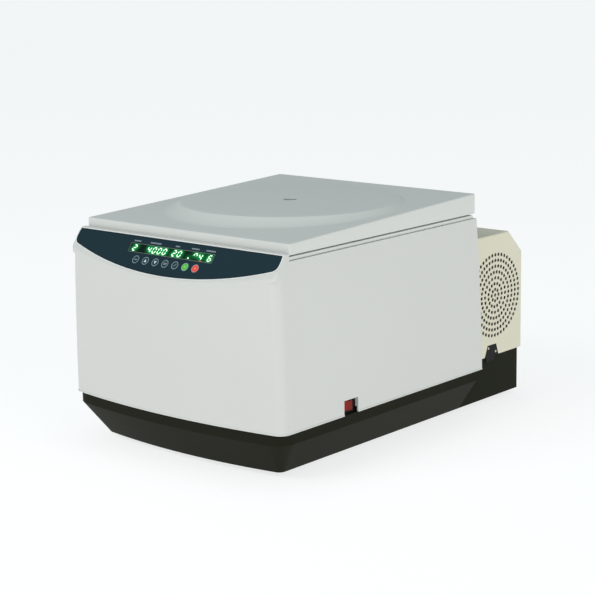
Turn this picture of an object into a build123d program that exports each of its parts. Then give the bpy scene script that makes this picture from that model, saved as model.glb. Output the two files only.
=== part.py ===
from build123d import *
import math
import os

os.makedirs("parts", exist_ok=True)

# Refrigerated bench centrifuge, in millimetres.
# +X is the operator's right, +Y points to the rear and +Z up.
# The origin is on the bench, below the middle of the outer box.

# Overall sizes
OVERALL_DEPTH = 778.0
OVERALL_HEIGHT = 420.0
FOOT_HEIGHT = 10.0
FRONT_Y = -OVERALL_DEPTH / 2
REAR_Y = OVERALL_DEPTH / 2
RUNNING_GAP = 0.05
FAR = 400.0

# Casing: bowed front, sides that lean in towards the top
CASING_BOTTOM = 89.0
SKIRT_REACH = 0.8
SKIRT_HEIGHT = 2.5
CASING_HALF_WIDTH = 250.2
CASING_FRONT_Y = FRONT_Y + SKIRT_REACH
CASING_SIDE_RADIUS = 4500.0
CASING_FRONT_RADIUS = 1450.0
CASING_CORNER_RADIUS = 20.0
CAVITY_CORNER_RADIUS = 32.0
CASING_WALL = 3.2
CASING_REAR_Y = 198.0
CASING_REAR_TOP_Y = 191.0
CASING_SIDE_TOP = 374.5
CASING_TOP_WALL = 6.5

# Notch for the power switch in the casing's right side
SWITCH_Y_LOW = -208.5
SWITCH_Y_HIGH = -171.0
SWITCH_TOP = 115.5
SWITCH_FACE_X = 243.0

# Lid: a wedge with a level round disc
LID_HALF_WIDTH = 238.0
LID_FRONT_Y = -329.5
LID_REAR_Y = 191.0
LID_BOTTOM = 383.5
LID_FRONT_TOP = 402.0
LID_WALL = 3.5
LID_CORNER_RADIUS = 2.2
DISC_RADIUS = 200.0
DISC_RAMP_RUN = 42.0
DISC_RAMP_HEIGHT = 20.0
VIEWPORT_RADIUS = 14.0
VIEWPORT_LEDGE_RADIUS = 12.0
VIEWPORT_RECESS = 2.6
LINER_BOTTOM = 384.0
LINER_THICKNESS = 2.5
LINER_REAR_Y = 168.0

# Fascia: a slanted plane through this point below the lid's front edge
FASCIA_ANGLE = 52.44
FASCIA_Y = -345.94
FASCIA_Z = 382.0
LIP_TOP = 387.0
LIP_REAR_Y = -332.0
FASCIA_CORNER_RADIUS = 8.0
FASCIA_RIM_DEPTH = 5.0

# Operating panel on the fascia: u runs along X, v up the slope
PANEL_HALF_WIDTH = 237.8
PANEL_TOP_V = 3.0
PANEL_BOTTOM_V = -65.0
PANEL_ARC_RADIUS = 715.0
PANEL_CORNER_RADIUS = 14.0
PANEL_END_BOW = 1.2
PANEL_THICKNESS = 1.0
BEZEL_WIDTH = 2.0
BEZEL_HEIGHT = 1.8
WINDOW_CENTRE = (-2.9, -19.8)
WINDOW_SIZE = (197.0, 16.0)
KEY_NAMES = ["menu_key", "up_key", "down_key", "select_key", "confirm_key", "start_key", "stop_key"]
KEY_PITCH = 23.5
KEY_FIRST_U = -74.4
KEY_V = -41.7
KEY_RADIUS = 8.0
DIGIT_PITCH = 12.2
DIGIT_GROUPS = [(-89.0, 1), (-36.0, 4), (9.5, 2), (57.5, 2), (86.0, 1)]

# Deck under the lid and the rotor chamber
DECK_TOP = 380.5
DECK_GROOVE = 0.6
DECK_HALF_WIDTH = 236.5
DECK_REAR_Y = 186.0
CHAMBER_Y = -52.0
BOWL_RADIUS = 192.0
BOWL_WALL = 2.0
BOWL_FLOOR = 178.0
BOWL_HOLE_RADIUS = 36.0
FOAM_RADIUS = 228.0
FOAM_INNER_RADIUS = 203.0
FOAM_BOTTOM = 150.0
FOAM_TOP = 363.5
COIL_TUBE_RADIUS = 4.0
COIL_RADIUS = 198.4
COIL_BOTTOM = 195.0
COIL_PITCH = 15.5
COIL_HALF_TURNS = 19
COIL_LEAD_Y = 120.0

# Base: tapered front tray and upright rear part
BASE_HALF_WIDTH = 248.5
BASE_FRONT_Y = -386.5
BASE_FOOT_HALF_WIDTH = 208.5
BASE_FOOT_FRONT_Y = -345.0
BASE_FOOT_FRONT_RADIUS = 1200.0
BASE_CREASE_Z = 70.0
BASE_TRAY_REAR_Y = 182.0
BASE_CORNER_RADIUS = 34.0
BASE_FOOT_CORNER_RADIUS = 12.0
BASE_REAR_Y = 379.0
BASE_REAR_CORNER_RADIUS = 3.0
BASE_REAR_TOP = 91.0
BASE_REAR_START_Y = 100.0
BASE_WALL = 4.0

# Rear housing
HOUSING_HALF_WIDTH = 210.0
HOUSING_TOP = 326.5
HOUSING_CHAMFER_Y = 343.0
HOUSING_CHAMFER_Z = 281.5
HOUSING_WALL = 1.5
VENT_Y = 298.8
VENT_Z = 208.3
VENT_RADIUS = 78.5
VENT_HOLE_RADIUS = 3.5
VENT_RING_COUNTS = [1, 8, 15, 20, 30, 36, 44, 48]

# Lid hinge: it stands in two recesses of the deck, and in two notches of the lid's rear wall
HINGE_Y = 188.0
HINGE_Z = 384.5
HINGE_X = 150.0
HINGE_PIN_RADIUS = 2.5
KNUCKLE_RADIUS = 5.0
HINGE_ROOM_INNER = 24.0
HINGE_ROOM_OUTER = 50.0
HINGE_ROOM_FRONT_Y = 172.0
HINGE_NOTCH_INNER = 14.0
HINGE_NOTCH_HEIGHT = 6.0

# Rotor with four swinging buckets
ROTOR_PIVOT_Z = 280.0
ROTOR_PIVOT_RADIUS = 92.0
ROTOR_PIN_RADIUS = 5.0
ROTOR_ARM_INNER = 36.0
ROTOR_ARM_THICKNESS = 8.0
BUCKET_LENGTH_BELOW = 88.0
BUCKET_LENGTH_ABOVE = 20.0
BUCKET_RADIUS = 29.3
BUCKET_COLLAR_RADIUS = 33.5
BUCKET_BORE_RADIUS = 26.5
SHAFT_RADIUS = 12.0
HUB_BORE_RADIUS = 10.0


def block(x_low, x_high, y_low, y_high, z_low, z_high):
    """Box between two corners."""
    size = (x_high - x_low, y_high - y_low, z_high - z_low)
    centre = ((x_low + x_high) / 2, (y_low + y_high) / 2, (z_low + z_high) / 2)
    return Pos(*centre) * Box(*size)


def upright(x, y, radius, z_low, z_high):
    """Cylinder along Z."""
    return Pos(x, y, (z_low + z_high) / 2) * Cylinder(radius, z_high - z_low)


def crosswise(y, z, radius, x_low, x_high):
    """Cylinder along X."""
    return Pos((x_low + x_high) / 2, y, z) * Rot(0, 90, 0) * Cylinder(radius, x_high - x_low)


def ring(x, y, inner, outer, z_low, z_high):
    """Upright tube."""
    return upright(x, y, outer, z_low, z_high) - upright(x, y, inner, z_low - 1, z_high + 1)


def polygon(points):
    """Closed polygon face from points in one plane."""
    return make_face(Polyline(*points, close=True))


def plan_outline(half_width, front_y, front_radius, corner_radius, rear_y):
    """Seen from above: bowed front, rounded front corners, straight sides and rear."""
    bow = front_radius - math.sqrt(front_radius**2 - half_width**2)
    left = (-half_width, front_y + bow)
    right = (half_width, front_y + bow)
    rear_right = (half_width, rear_y)
    rear_left = (-half_width, rear_y)
    edges = [
        ThreePointArc(left, (0, front_y), right),
        Line(right, rear_right),
        Line(rear_right, rear_left),
        Line(rear_left, left),
    ]
    outline = make_face(edges)
    front_corners = outline.vertices().sort_by(Axis.Y)[:2]
    return fillet(front_corners, corner_radius)


def pipe(points, radius, bend):
    """Metal tube along straight runs joined by bends."""
    route = FilletPolyline(*points, radius=bend)
    start = Plane(origin=route @ 0, z_dir=route % 0)
    return sweep(start * Circle(radius), path=route)


def group(solids):
    """Several separate solids of one kind, kept in one node."""
    return Compound(children=[item for solid in solids for item in solid.solids()])


def save(name, shape):
    """Write one piece to its own file."""
    export_step(shape, f"parts/{name}.step")


# Feet

FOOT_X = 150.0
FOOT_FRONT_Y = -262.0
FOOT_REAR_Y = 320.0
FOOT_RADIUS = 20.0


def rubber_foot(x, y):
    """Rubber foot, a little narrower where it meets the bench."""
    foot = upright(x, y, FOOT_RADIUS, 0, FOOT_HEIGHT)
    bottom_edge = foot.edges().sort_by(Axis.Z)[0]
    return chamfer(bottom_edge, 1.5)


feet = [rubber_foot(x, y) for x in (-FOOT_X, FOOT_X) for y in (FOOT_FRONT_Y, FOOT_REAR_Y)]
save("rubber_feet", group(feet))


# Base: one plastic tub, a tapered tray in front and an upright part at the rear

TONGUE_HEIGHT = 8.0
TONGUE_INSET = 2.0
TONGUE_WALL = 2.5
TONGUE_CORNER_RADIUS = CAVITY_CORNER_RADIUS - 0.5
TONGUE_REAR_Y = 142.0
TONGUE_SWITCH_GAP = 5.0


def tray(inset, z_low, z_high):
    """Front tray with its flared lower walls, all walls moved in by an inset."""
    top_outline = plan_outline(
        BASE_HALF_WIDTH - inset,
        BASE_FRONT_Y + inset,
        CASING_FRONT_RADIUS,
        BASE_CORNER_RADIUS - inset,
        BASE_TRAY_REAR_Y - inset,
    )
    foot_outline = plan_outline(
        BASE_FOOT_HALF_WIDTH - inset,
        BASE_FOOT_FRONT_Y + inset,
        BASE_FOOT_FRONT_RADIUS,
        BASE_FOOT_CORNER_RADIUS - inset,
        BASE_TRAY_REAR_Y - inset,
    )
    outlines = [Pos(0, 0, FOOT_HEIGHT) * foot_outline, Pos(0, 0, BASE_CREASE_Z) * top_outline]
    flare = loft(outlines, ruled=True)
    band = Pos(0, 0, BASE_CREASE_Z) * extrude(top_outline, z_high - BASE_CREASE_Z)
    return (flare + band) & block(-FAR, FAR, -FAR, FAR, z_low, z_high)


def rear_box(inset, corner_radius, z_low, z_high):
    """Upright rear part of the base, running a little way into the tray."""
    half = BASE_FOOT_HALF_WIDTH - inset
    box = block(-half, half, BASE_REAR_START_Y, BASE_REAR_Y - inset, z_low, z_high)
    rear_corners = box.edges().filter_by(Axis.Z).sort_by(Axis.Y)[-2:]
    return fillet(rear_corners, corner_radius)


def tongue(half_width, front_y, corner_radius, rear_y, z_low):
    """Upright rim that locates a cover on the base."""
    outer = plan_outline(half_width, front_y, CASING_FRONT_RADIUS, corner_radius, rear_y)
    inner = plan_outline(
        half_width - TONGUE_WALL,
        front_y + TONGUE_WALL,
        CASING_FRONT_RADIUS,
        corner_radius - TONGUE_WALL,
        rear_y + 1,
    )
    return Pos(0, 0, z_low) * extrude(outer - inner, TONGUE_HEIGHT)


base_floor = FOOT_HEIGHT + BASE_WALL
tub = tray(0, FOOT_HEIGHT, CASING_BOTTOM)
tub += rear_box(0, BASE_REAR_CORNER_RADIUS, FOOT_HEIGHT, BASE_REAR_TOP)
tub -= tray(BASE_WALL, base_floor, CASING_BOTTOM + 1)
tub -= rear_box(BASE_WALL, 1.0, base_floor, BASE_REAR_TOP + 1)
tub += tongue(
    BASE_HALF_WIDTH - TONGUE_INSET,
    BASE_FRONT_Y + TONGUE_INSET,
    TONGUE_CORNER_RADIUS,
    TONGUE_REAR_Y,
    CASING_BOTTOM,
)
tub -= block(
    SWITCH_FACE_X - 13,
    FAR,
    SWITCH_Y_LOW - TONGUE_SWITCH_GAP,
    SWITCH_Y_HIGH + TONGUE_SWITCH_GAP,
    CASING_BOTTOM,
    SWITCH_TOP,
)

# Mains inlet: a flanged socket in the rear wall of the base
INLET_X = 120.0
INLET_Z = 52.0
INLET_HALF_WIDTH = 14.0
INLET_HALF_HEIGHT = 10.0
INLET_DEPTH = 24.0
INLET_WALL = 1.6
INLET_FLANGE = 4.0
INLET_FLANGE_THICKNESS = 3.0
INLET_PINS = [(-7.0, -3.0), (7.0, -3.0), (0.0, 3.0)]
INLET_PIN_HALF_WIDTH = 1.0
INLET_PIN_HALF_HEIGHT = 2.0
INLET_PIN_TIP_DEPTH = 5.0


def inlet_box(margin, y_low, y_high):
    """Box round the inlet's axis."""
    half_width = INLET_HALF_WIDTH + margin
    half_height = INLET_HALF_HEIGHT + margin
    return block(
        INLET_X - half_width,
        INLET_X + half_width,
        y_low,
        y_high,
        INLET_Z - half_height,
        INLET_Z + half_height,
    )


inlet_front = BASE_REAR_Y - INLET_DEPTH
inlet = inlet_box(INLET_WALL, inlet_front, BASE_REAR_Y)
inlet += inlet_box(INLET_FLANGE + INLET_WALL, BASE_REAR_Y, BASE_REAR_Y + INLET_FLANGE_THICKNESS)
inlet -= inlet_box(0, inlet_front + 3, REAR_Y)
for pin_x, pin_z in INLET_PINS:
    blade_x = INLET_X + pin_x
    blade_z = INLET_Z + pin_z
    inlet += block(
        blade_x - INLET_PIN_HALF_WIDTH,
        blade_x + INLET_PIN_HALF_WIDTH,
        inlet_front + 2,
        BASE_REAR_Y - INLET_PIN_TIP_DEPTH,
        blade_z - INLET_PIN_HALF_HEIGHT,
        blade_z + INLET_PIN_HALF_HEIGHT,
    )
tub -= inlet_box(INLET_WALL, inlet_front - 1, REAR_Y)
save("base_tub", tub)
save("mains_inlet", inlet)

# Chassis plate on the floor of the base
CHASSIS_THICKNESS = 3.0
CHASSIS_TOP = base_floor + CHASSIS_THICKNESS
CHASSIS_HALF_WIDTH = 198.0
CHASSIS_FRONT_Y = -312.0
CHASSIS_REAR_Y = 366.0
CHASSIS_FLANGE_HEIGHT = 12.0
half_flange = CHASSIS_THICKNESS / 2
chassis = block(
    -CHASSIS_HALF_WIDTH, CHASSIS_HALF_WIDTH, CHASSIS_FRONT_Y, CHASSIS_REAR_Y, base_floor, CHASSIS_TOP
)
for side in (-1, 1):
    chassis += block(
        side * CHASSIS_HALF_WIDTH - half_flange,
        side * CHASSIS_HALF_WIDTH + half_flange,
        CHASSIS_FRONT_Y + 12,
        CHASSIS_REAR_Y - 6,
        base_floor,
        CHASSIS_TOP + CHASSIS_FLANGE_HEIGHT,
    )
save("chassis_plate", chassis)


# Fascia frame: u along X, v up the slope, w out of the panel

slope = math.radians(FASCIA_ANGLE)
fascia_plane = Plane(
    origin=(0, FASCIA_Y, FASCIA_Z),
    x_dir=(1, 0, 0),
    z_dir=(0, -math.sin(slope), math.cos(slope)),
)
fascia = fascia_plane.location


def fascia_block(u_low, u_high, v_low, v_high, w_low, w_high):
    """Box in the fascia's own directions."""
    return fascia * block(u_low, u_high, v_low, v_high, w_low, w_high)


def fascia_rod(u, v, radius, w_low, w_high):
    """Cylinder square to the fascia."""
    return fascia * upright(u, v, radius, w_low, w_high)


key_places = [(KEY_FIRST_U + index * KEY_PITCH, KEY_V) for index in range(len(KEY_NAMES))]

# Casing

CAVITY_TOP = CASING_SIDE_TOP - CASING_TOP_WALL


def lean_in(height):
    """How far the side has moved in at a height above the casing's bottom edge."""
    return CASING_SIDE_RADIUS - math.sqrt(CASING_SIDE_RADIUS**2 - height**2)


def rear_face_y(height):
    """Where the leaning rear wall stands at a height above the casing's bottom edge."""
    lean = (CASING_REAR_Y - CASING_REAR_TOP_Y) / (CASING_SIDE_TOP - CASING_BOTTOM)
    return CASING_REAR_Y - lean * height


def casing_block(inset, corner_radius, z_top):
    """Solid of the casing's outside, with all upright walls moved in by an inset."""
    half_bottom = CASING_HALF_WIDTH - inset
    height = z_top - CASING_BOTTOM
    half_top = half_bottom - lean_in(height)
    half_middle = half_bottom - lean_in(height / 2)
    z_middle = CASING_BOTTOM + height / 2
    edges = [
        Line((-half_bottom, 0, CASING_BOTTOM), (half_bottom, 0, CASING_BOTTOM)),
        ThreePointArc(
            (half_bottom, 0, CASING_BOTTOM), (half_middle, 0, z_middle), (half_top, 0, z_top)
        ),
        Line((half_top, 0, z_top), (-half_top, 0, z_top)),
        ThreePointArc(
            (-half_top, 0, z_top), (-half_middle, 0, z_middle), (-half_bottom, 0, CASING_BOTTOM)
        ),
    ]
    profile = make_face(edges)
    sides = extrude(profile, FAR, both=True)
    front_y = CASING_FRONT_Y + inset
    front_radius = CASING_FRONT_RADIUS - inset
    reach = 1.2 * CASING_HALF_WIDTH
    bow = front_radius - math.sqrt(front_radius**2 - reach**2)
    rear_y = CASING_REAR_Y - inset
    plan = make_face(
        [
            ThreePointArc((-reach, front_y + bow), (0, front_y), (reach, front_y + bow)),
            Line((reach, front_y + bow), (reach, rear_y)),
            Line((reach, rear_y), (-reach, rear_y)),
            Line((-reach, rear_y), (-reach, front_y + bow)),
        ]
    )
    walls = Pos(0, 0, CASING_BOTTOM) * extrude(plan, height)
    solid = sides & walls
    upright_edges = solid.edges().filter_by(lambda edge: abs(edge.center().Z - z_middle) < 5)
    front_edges = upright_edges.sort_by(Axis.Y)[:2]
    solid = fillet(front_edges, corner_radius)
    behind_rear_face = [
        (-reach, CASING_REAR_Y - inset, CASING_BOTTOM),
        (-reach, rear_face_y(height) - inset, z_top),
        (-reach, CASING_REAR_Y + 1, z_top),
        (-reach, CASING_REAR_Y + 1, CASING_BOTTOM),
    ]
    solid -= extrude(polygon(behind_rear_face), 2 * reach, dir=(1, 0, 0))
    return solid - fascia_block(-FAR, FAR, -FAR, FAR, -inset, FAR)


casing = casing_block(0, CASING_CORNER_RADIUS, LIP_TOP)
fascia_rim = casing_block(0, FASCIA_CORNER_RADIUS, LIP_TOP)
casing += fascia_rim & fascia_block(-FAR, FAR, -FAR, FAR, -FASCIA_RIM_DEPTH, 0)
casing -= block(-FAR, FAR, LIP_REAR_Y, FAR, CASING_SIDE_TOP, FAR)

lip_edge = casing.edges().filter_by(
    lambda edge: abs(edge.center().Z - LIP_TOP) < 0.1 and edge.length > 400
)
casing = fillet(lip_edge, 1.6)

foot_edges = casing.edges().filter_by(
    lambda edge: FASCIA_Z - 75 < edge.center().Z < FASCIA_Z - 20
    and edge.center().Y < -360
    and edge.length > 300
)
fascia_foot = foot_edges.sort_by(Axis.Z)[-1]
casing = fillet(fascia_foot, 1.0)

# Skirt: a slightly wider band with a bevelled top round the bottom edge
skirt_outline = plan_outline(
    CASING_HALF_WIDTH + SKIRT_REACH,
    FRONT_Y,
    CASING_FRONT_RADIUS,
    CASING_CORNER_RADIUS,
    CASING_REAR_Y,
)
skirt = Pos(0, 0, CASING_BOTTOM) * extrude(skirt_outline, SKIRT_HEIGHT)
skirt = chamfer(skirt.edges().group_by(Axis.Z)[-1], SKIRT_REACH - 0.1)
casing += skirt

# The bottom of the cavity is open, and its roof lies lower behind the lip
cavity = casing_block(CASING_WALL, CAVITY_CORNER_RADIUS, LIP_TOP - CASING_WALL)
cavity -= block(-FAR, FAR, LIP_REAR_Y - CASING_WALL, FAR, CAVITY_TOP, FAR)
casing -= cavity

# Opening below the deck, and the opening to the rear compartment
ROOF_OPENING_HALF_WIDTH = 225.0
ROOF_OPENING_FRONT_Y = -322.0
ROOF_OPENING_REAR_Y = 150.0
REAR_OPENING_HALF_WIDTH = 195.0
REAR_OPENING_TOP = 315.0
SILL_HALF_WIDTH = BASE_FOOT_HALF_WIDTH + 1.0
SILL_TOP = 102.0
rear_opening_y = CASING_REAR_Y - 20
casing -= block(
    -ROOF_OPENING_HALF_WIDTH,
    ROOF_OPENING_HALF_WIDTH,
    ROOF_OPENING_FRONT_Y,
    ROOF_OPENING_REAR_Y,
    CAVITY_TOP - 1,
    FAR,
)
casing -= block(
    -REAR_OPENING_HALF_WIDTH,
    REAR_OPENING_HALF_WIDTH,
    rear_opening_y,
    FAR,
    CASING_BOTTOM - 1,
    REAR_OPENING_TOP,
)
casing -= block(-SILL_HALF_WIDTH, SILL_HALF_WIDTH, rear_opening_y, FAR, CASING_BOTTOM - 1, SILL_TOP)

# Notch for the power switch, with a return wall round it
switch_pocket = block(
    SWITCH_FACE_X, 249, SWITCH_Y_LOW - 2, SWITCH_Y_HIGH + 2, CASING_BOTTOM + 9, SWITCH_TOP + 2
)
casing += switch_pocket
casing -= block(SWITCH_FACE_X - 5, 260, SWITCH_Y_LOW, SWITCH_Y_HIGH, CASING_BOTTOM - 1, SWITCH_TOP)

# Openings behind the display window and the keys
WINDOW_SEAT = 2.0
window_u, window_v = WINDOW_CENTRE
window_half_u = WINDOW_SIZE[0] / 2
window_half_v = WINDOW_SIZE[1] / 2
casing -= fascia_block(
    window_u - window_half_u + WINDOW_SEAT,
    window_u + window_half_u - WINDOW_SEAT,
    window_v - window_half_v + WINDOW_SEAT / 2,
    window_v + window_half_v - WINDOW_SEAT / 2,
    -10,
    1,
)
KEY_WELL_DEPTH = 1.9
KEY_STEM_RADIUS = 3.5
for key_u, key_v in key_places:
    casing -= fascia_rod(key_u, key_v, KEY_RADIUS + 0.3, -KEY_WELL_DEPTH, 1)
    casing -= fascia_rod(key_u, key_v, KEY_STEM_RADIUS + 0.4, -10, 1)
save("casing", casing)


# Operating panel: film, bezel, window, digits, display board and keys


def panel_outline(grow):
    """Outline of the panel: straight top, bowed foot and ends, rounded lower corners."""
    half = PANEL_HALF_WIDTH + grow
    top = PANEL_TOP_V + grow
    bottom = PANEL_BOTTOM_V - grow
    radius = PANEL_ARC_RADIUS + grow
    end_v = bottom + radius - math.sqrt(radius**2 - half**2)
    middle_v = (top + end_v) / 2
    bow = half + PANEL_END_BOW
    edges = [
        Line((-half, top), (half, top)),
        ThreePointArc((half, top), (bow, middle_v), (half, end_v)),
        ThreePointArc((half, end_v), (0, bottom), (-half, end_v)),
        ThreePointArc((-half, end_v), (-bow, middle_v), (-half, top)),
    ]
    outline = make_face(edges)
    lower_corners = outline.vertices().sort_by(Axis.Y)[:2]
    return fillet(lower_corners, PANEL_CORNER_RADIUS + grow)


film = fascia * extrude(panel_outline(0), PANEL_THICKNESS)
film -= fascia_block(
    window_u - window_half_u - 0.2,
    window_u + window_half_u + 0.2,
    window_v - window_half_v - 0.2,
    window_v + window_half_v + 0.2,
    -1,
    3,
)
for key_u, key_v in key_places:
    film -= fascia_rod(key_u, key_v, KEY_RADIUS + 0.2, -1, 3)
save("panel_film", film)

bezel = fascia * extrude(panel_outline(BEZEL_WIDTH) - panel_outline(0.1), BEZEL_HEIGHT)
save("panel_bezel", bezel)

window = fascia_block(
    window_u - window_half_u,
    window_u + window_half_u,
    window_v - window_half_v,
    window_v + window_half_v,
    0,
    PANEL_THICKNESS,
)
save("display_window", window)

BOARD_W = -16.0
BOARD_THICKNESS = 1.6
DIGIT_HEIGHT = 13.0
DIGIT_FRONT_W = -0.6
board_front = BOARD_W + BOARD_THICKNESS
digit_blocks = []
for group_u, digit_count in DIGIT_GROUPS:
    half_group = digit_count * DIGIT_PITCH / 2
    digit_blocks.append(
        fascia_block(
            group_u - half_group,
            group_u + half_group,
            window_v - DIGIT_HEIGHT / 2,
            window_v + DIGIT_HEIGHT / 2,
            board_front,
            DIGIT_FRONT_W,
        )
    )
save("digit_modules", group(digit_blocks))

BOARD_MARGIN_U = 13.0
BOARD_BOTTOM_V = -56.0
BOARD_TOP_V = -8.0
TACT_HALF_WIDTH = 3.0
TACT_HEIGHT = 1.4
display_board = fascia_block(
    window_u - window_half_u - BOARD_MARGIN_U,
    window_u + window_half_u + BOARD_MARGIN_U,
    BOARD_BOTTOM_V,
    BOARD_TOP_V,
    BOARD_W,
    board_front,
)
for key_u, key_v in key_places:
    display_board += fascia_block(
        key_u - TACT_HALF_WIDTH,
        key_u + TACT_HALF_WIDTH,
        key_v - TACT_HALF_WIDTH,
        key_v + TACT_HALF_WIDTH,
        board_front,
        board_front + TACT_HEIGHT,
    )
save("display_board", display_board)

KEY_TOP_W = 1.4
KEY_CAP_BOTTOM_W = -0.8
KEY_STEM_END_W = -12.0
for key_name, (key_u, key_v) in zip(KEY_NAMES, key_places):
    key = upright(key_u, key_v, KEY_RADIUS, KEY_CAP_BOTTOM_W, KEY_TOP_W)
    key = fillet(key.edges().sort_by(Axis.Z)[-1], 0.5)
    key += upright(key_u, key_v, KEY_STEM_RADIUS, KEY_STEM_END_W, 0)
    save(key_name, fascia * key)


# Power switch: frame in the notch, rocker on an upright axis

ROCKER_AXIS_X = 238.0
ROCKER_AXIS_Y = -193.3
ROCKER_BOTTOM = 94.5
ROCKER_TOP = 111.5
ROCKER_HALF_LENGTH = 12.0
ROCKER_TILT = 8.0
ROCKER_GAP = 0.4
ROCKER_PIN_RADIUS = 1.5
ROCKER_PIN_REACH = 2.0
SWITCH_BODY_BACK_X = 214.0
FRAME_THICKNESS = 3.0

frame_back_x = SWITCH_FACE_X - FRAME_THICKNESS
rocker_room = ROCKER_HALF_LENGTH + 1.2
switch_frame = block(
    frame_back_x, SWITCH_FACE_X, SWITCH_Y_LOW + 0.5, SWITCH_Y_HIGH - 0.5, CASING_BOTTOM, SWITCH_TOP - 0.5
)
switch_frame += block(
    SWITCH_BODY_BACK_X,
    frame_back_x,
    ROCKER_AXIS_Y - rocker_room - 1.3,
    ROCKER_AXIS_Y + rocker_room + 1.3,
    ROCKER_BOTTOM - 3,
    ROCKER_TOP + 3,
)
switch_frame -= block(
    frame_back_x - 14,
    SWITCH_FACE_X + 1,
    ROCKER_AXIS_Y - rocker_room,
    ROCKER_AXIS_Y + rocker_room,
    ROCKER_BOTTOM - ROCKER_GAP,
    ROCKER_TOP + ROCKER_GAP,
)


def rocker_pin(radius, extra):
    """Upright pivot of the rocker."""
    low = ROCKER_BOTTOM - ROCKER_PIN_REACH - extra
    high = ROCKER_TOP + ROCKER_PIN_REACH + extra
    return upright(ROCKER_AXIS_X, ROCKER_AXIS_Y, radius, low, high)


switch_frame -= rocker_pin(ROCKER_PIN_RADIUS + RUNNING_GAP, 0.3)
save("switch_frame", switch_frame)

rocker_profile = polygon(
    [
        (-7, -7.5),
        (6.5, -ROCKER_HALF_LENGTH),
        (5, 0),
        (6.5, ROCKER_HALF_LENGTH),
        (-7, 7.5),
    ]
)
rocker = Rot(0, 0, -ROCKER_TILT) * extrude(rocker_profile, ROCKER_TOP - ROCKER_BOTTOM)
rocker = Pos(ROCKER_AXIS_X, ROCKER_AXIS_Y, ROCKER_BOTTOM) * rocker
save("power_rocker", rocker + rocker_pin(ROCKER_PIN_RADIUS, 0))


# Deck under the lid

SLOT_X = 16.0
SLOT_Y_LOW = -298.0
SLOT_Y_HIGH = -282.0
groove_top = CASING_SIDE_TOP + DECK_GROOVE
deck = block(-DECK_HALF_WIDTH, DECK_HALF_WIDTH, LIP_REAR_Y + 0.5, DECK_REAR_Y, groove_top, DECK_TOP)
deck_rim = deck.edges().filter_by(lambda edge: abs(edge.center().Z - DECK_TOP) < 0.1)
deck = fillet(deck_rim, 1.5)
deck += block(-234.5, 234.5, LIP_REAR_Y + 2.5, DECK_REAR_Y - 2, CASING_SIDE_TOP, groove_top)
deck -= upright(0, CHAMBER_Y, BOWL_RADIUS + BOWL_WALL + 1, 300, 400)
deck -= block(-SLOT_X, SLOT_X, SLOT_Y_LOW, SLOT_Y_HIGH, 300, 400)
room_inner = HINGE_X - HINGE_ROOM_INNER
room_outer = HINGE_X + HINGE_ROOM_OUTER
deck -= block(room_inner, room_outer, HINGE_ROOM_FRONT_Y, 200, 300, 400)
deck -= block(-room_outer, -room_inner, HINGE_ROOM_FRONT_Y, 200, 300, 400)
save("top_deck", deck)

# Chamber: bowl, gasket, insulation, evaporator coil

FLANGE_RADIUS = 203.0
FLANGE_TOP = DECK_TOP + 1.5
bowl_outside = upright(0, CHAMBER_Y, BOWL_RADIUS + BOWL_WALL, BOWL_FLOOR - BOWL_WALL, FLANGE_TOP)
bowl_outside = fillet(bowl_outside.edges().sort_by(Axis.Z)[0], 14.0)
bowl_inside = upright(0, CHAMBER_Y, BOWL_RADIUS, BOWL_FLOOR, 400)
bowl_inside = fillet(bowl_inside.edges().sort_by(Axis.Z)[0], 12.0)
bowl = bowl_outside + upright(0, CHAMBER_Y, FLANGE_RADIUS, DECK_TOP, FLANGE_TOP)
bowl -= bowl_inside
bowl -= upright(0, CHAMBER_Y, BOWL_HOLE_RADIUS, 100, 200)
save("chamber_bowl", bowl)

gasket = ring(0, CHAMBER_Y, FLANGE_RADIUS + 1.5, FLANGE_RADIUS + 10, DECK_TOP, DECK_TOP + 3.2)
gasket = fillet(gasket.edges().filter_by(lambda edge: edge.center().Z > DECK_TOP + 3), 1.4)
save("chamber_gasket", gasket)

MOTOR_RADIUS = 75.0
foam = upright(0, CHAMBER_Y, FOAM_RADIUS, FOAM_BOTTOM, FOAM_TOP)
foam -= upright(0, CHAMBER_Y, FOAM_INNER_RADIUS, BOWL_FLOOR - BOWL_WALL, 400)
foam -= upright(0, CHAMBER_Y, MOTOR_RADIUS + 7, 100, 200)

coil_top = COIL_BOTTOM + COIL_HALF_TURNS * COIL_PITCH / 2


def along_y(x, z, radius, y_low, y_high):
    """Cylinder along Y."""
    return Pos(x, (y_low + y_high) / 2, z) * Rot(90, 0, 0) * Cylinder(radius, y_high - y_low)


foam -= along_y(COIL_RADIUS, COIL_BOTTOM, COIL_TUBE_RADIUS + 0.5, CHAMBER_Y - 10, 200)
foam -= along_y(-COIL_RADIUS, coil_top, COIL_TUBE_RADIUS + 0.5, CHAMBER_Y - 10, 200)
save("chamber_insulation", foam)


def coil_path():
    """Half turns that climb from the lower lead to the upper lead."""
    rise = COIL_PITCH / 2
    edges = [Line((COIL_RADIUS, COIL_LEAD_Y, COIL_BOTTOM), (COIL_RADIUS, CHAMBER_Y, COIL_BOTTOM))]
    for half_turn in range(COIL_HALF_TURNS):
        side = 1 if half_turn % 2 == 0 else -1
        z_start = COIL_BOTTOM + half_turn * rise
        start = (side * COIL_RADIUS, CHAMBER_Y, z_start)
        end = (-side * COIL_RADIUS, CHAMBER_Y, z_start + rise)
        reach = math.hypot(COIL_RADIUS, rise / 2)
        middle = (0, CHAMBER_Y - side * reach, z_start + rise / 2)
        edges.append(ThreePointArc(start, middle, end))
    edges.append(Line((-COIL_RADIUS, CHAMBER_Y, coil_top), (-COIL_RADIUS, COIL_LEAD_Y, coil_top)))
    return Wire(edges)


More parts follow.
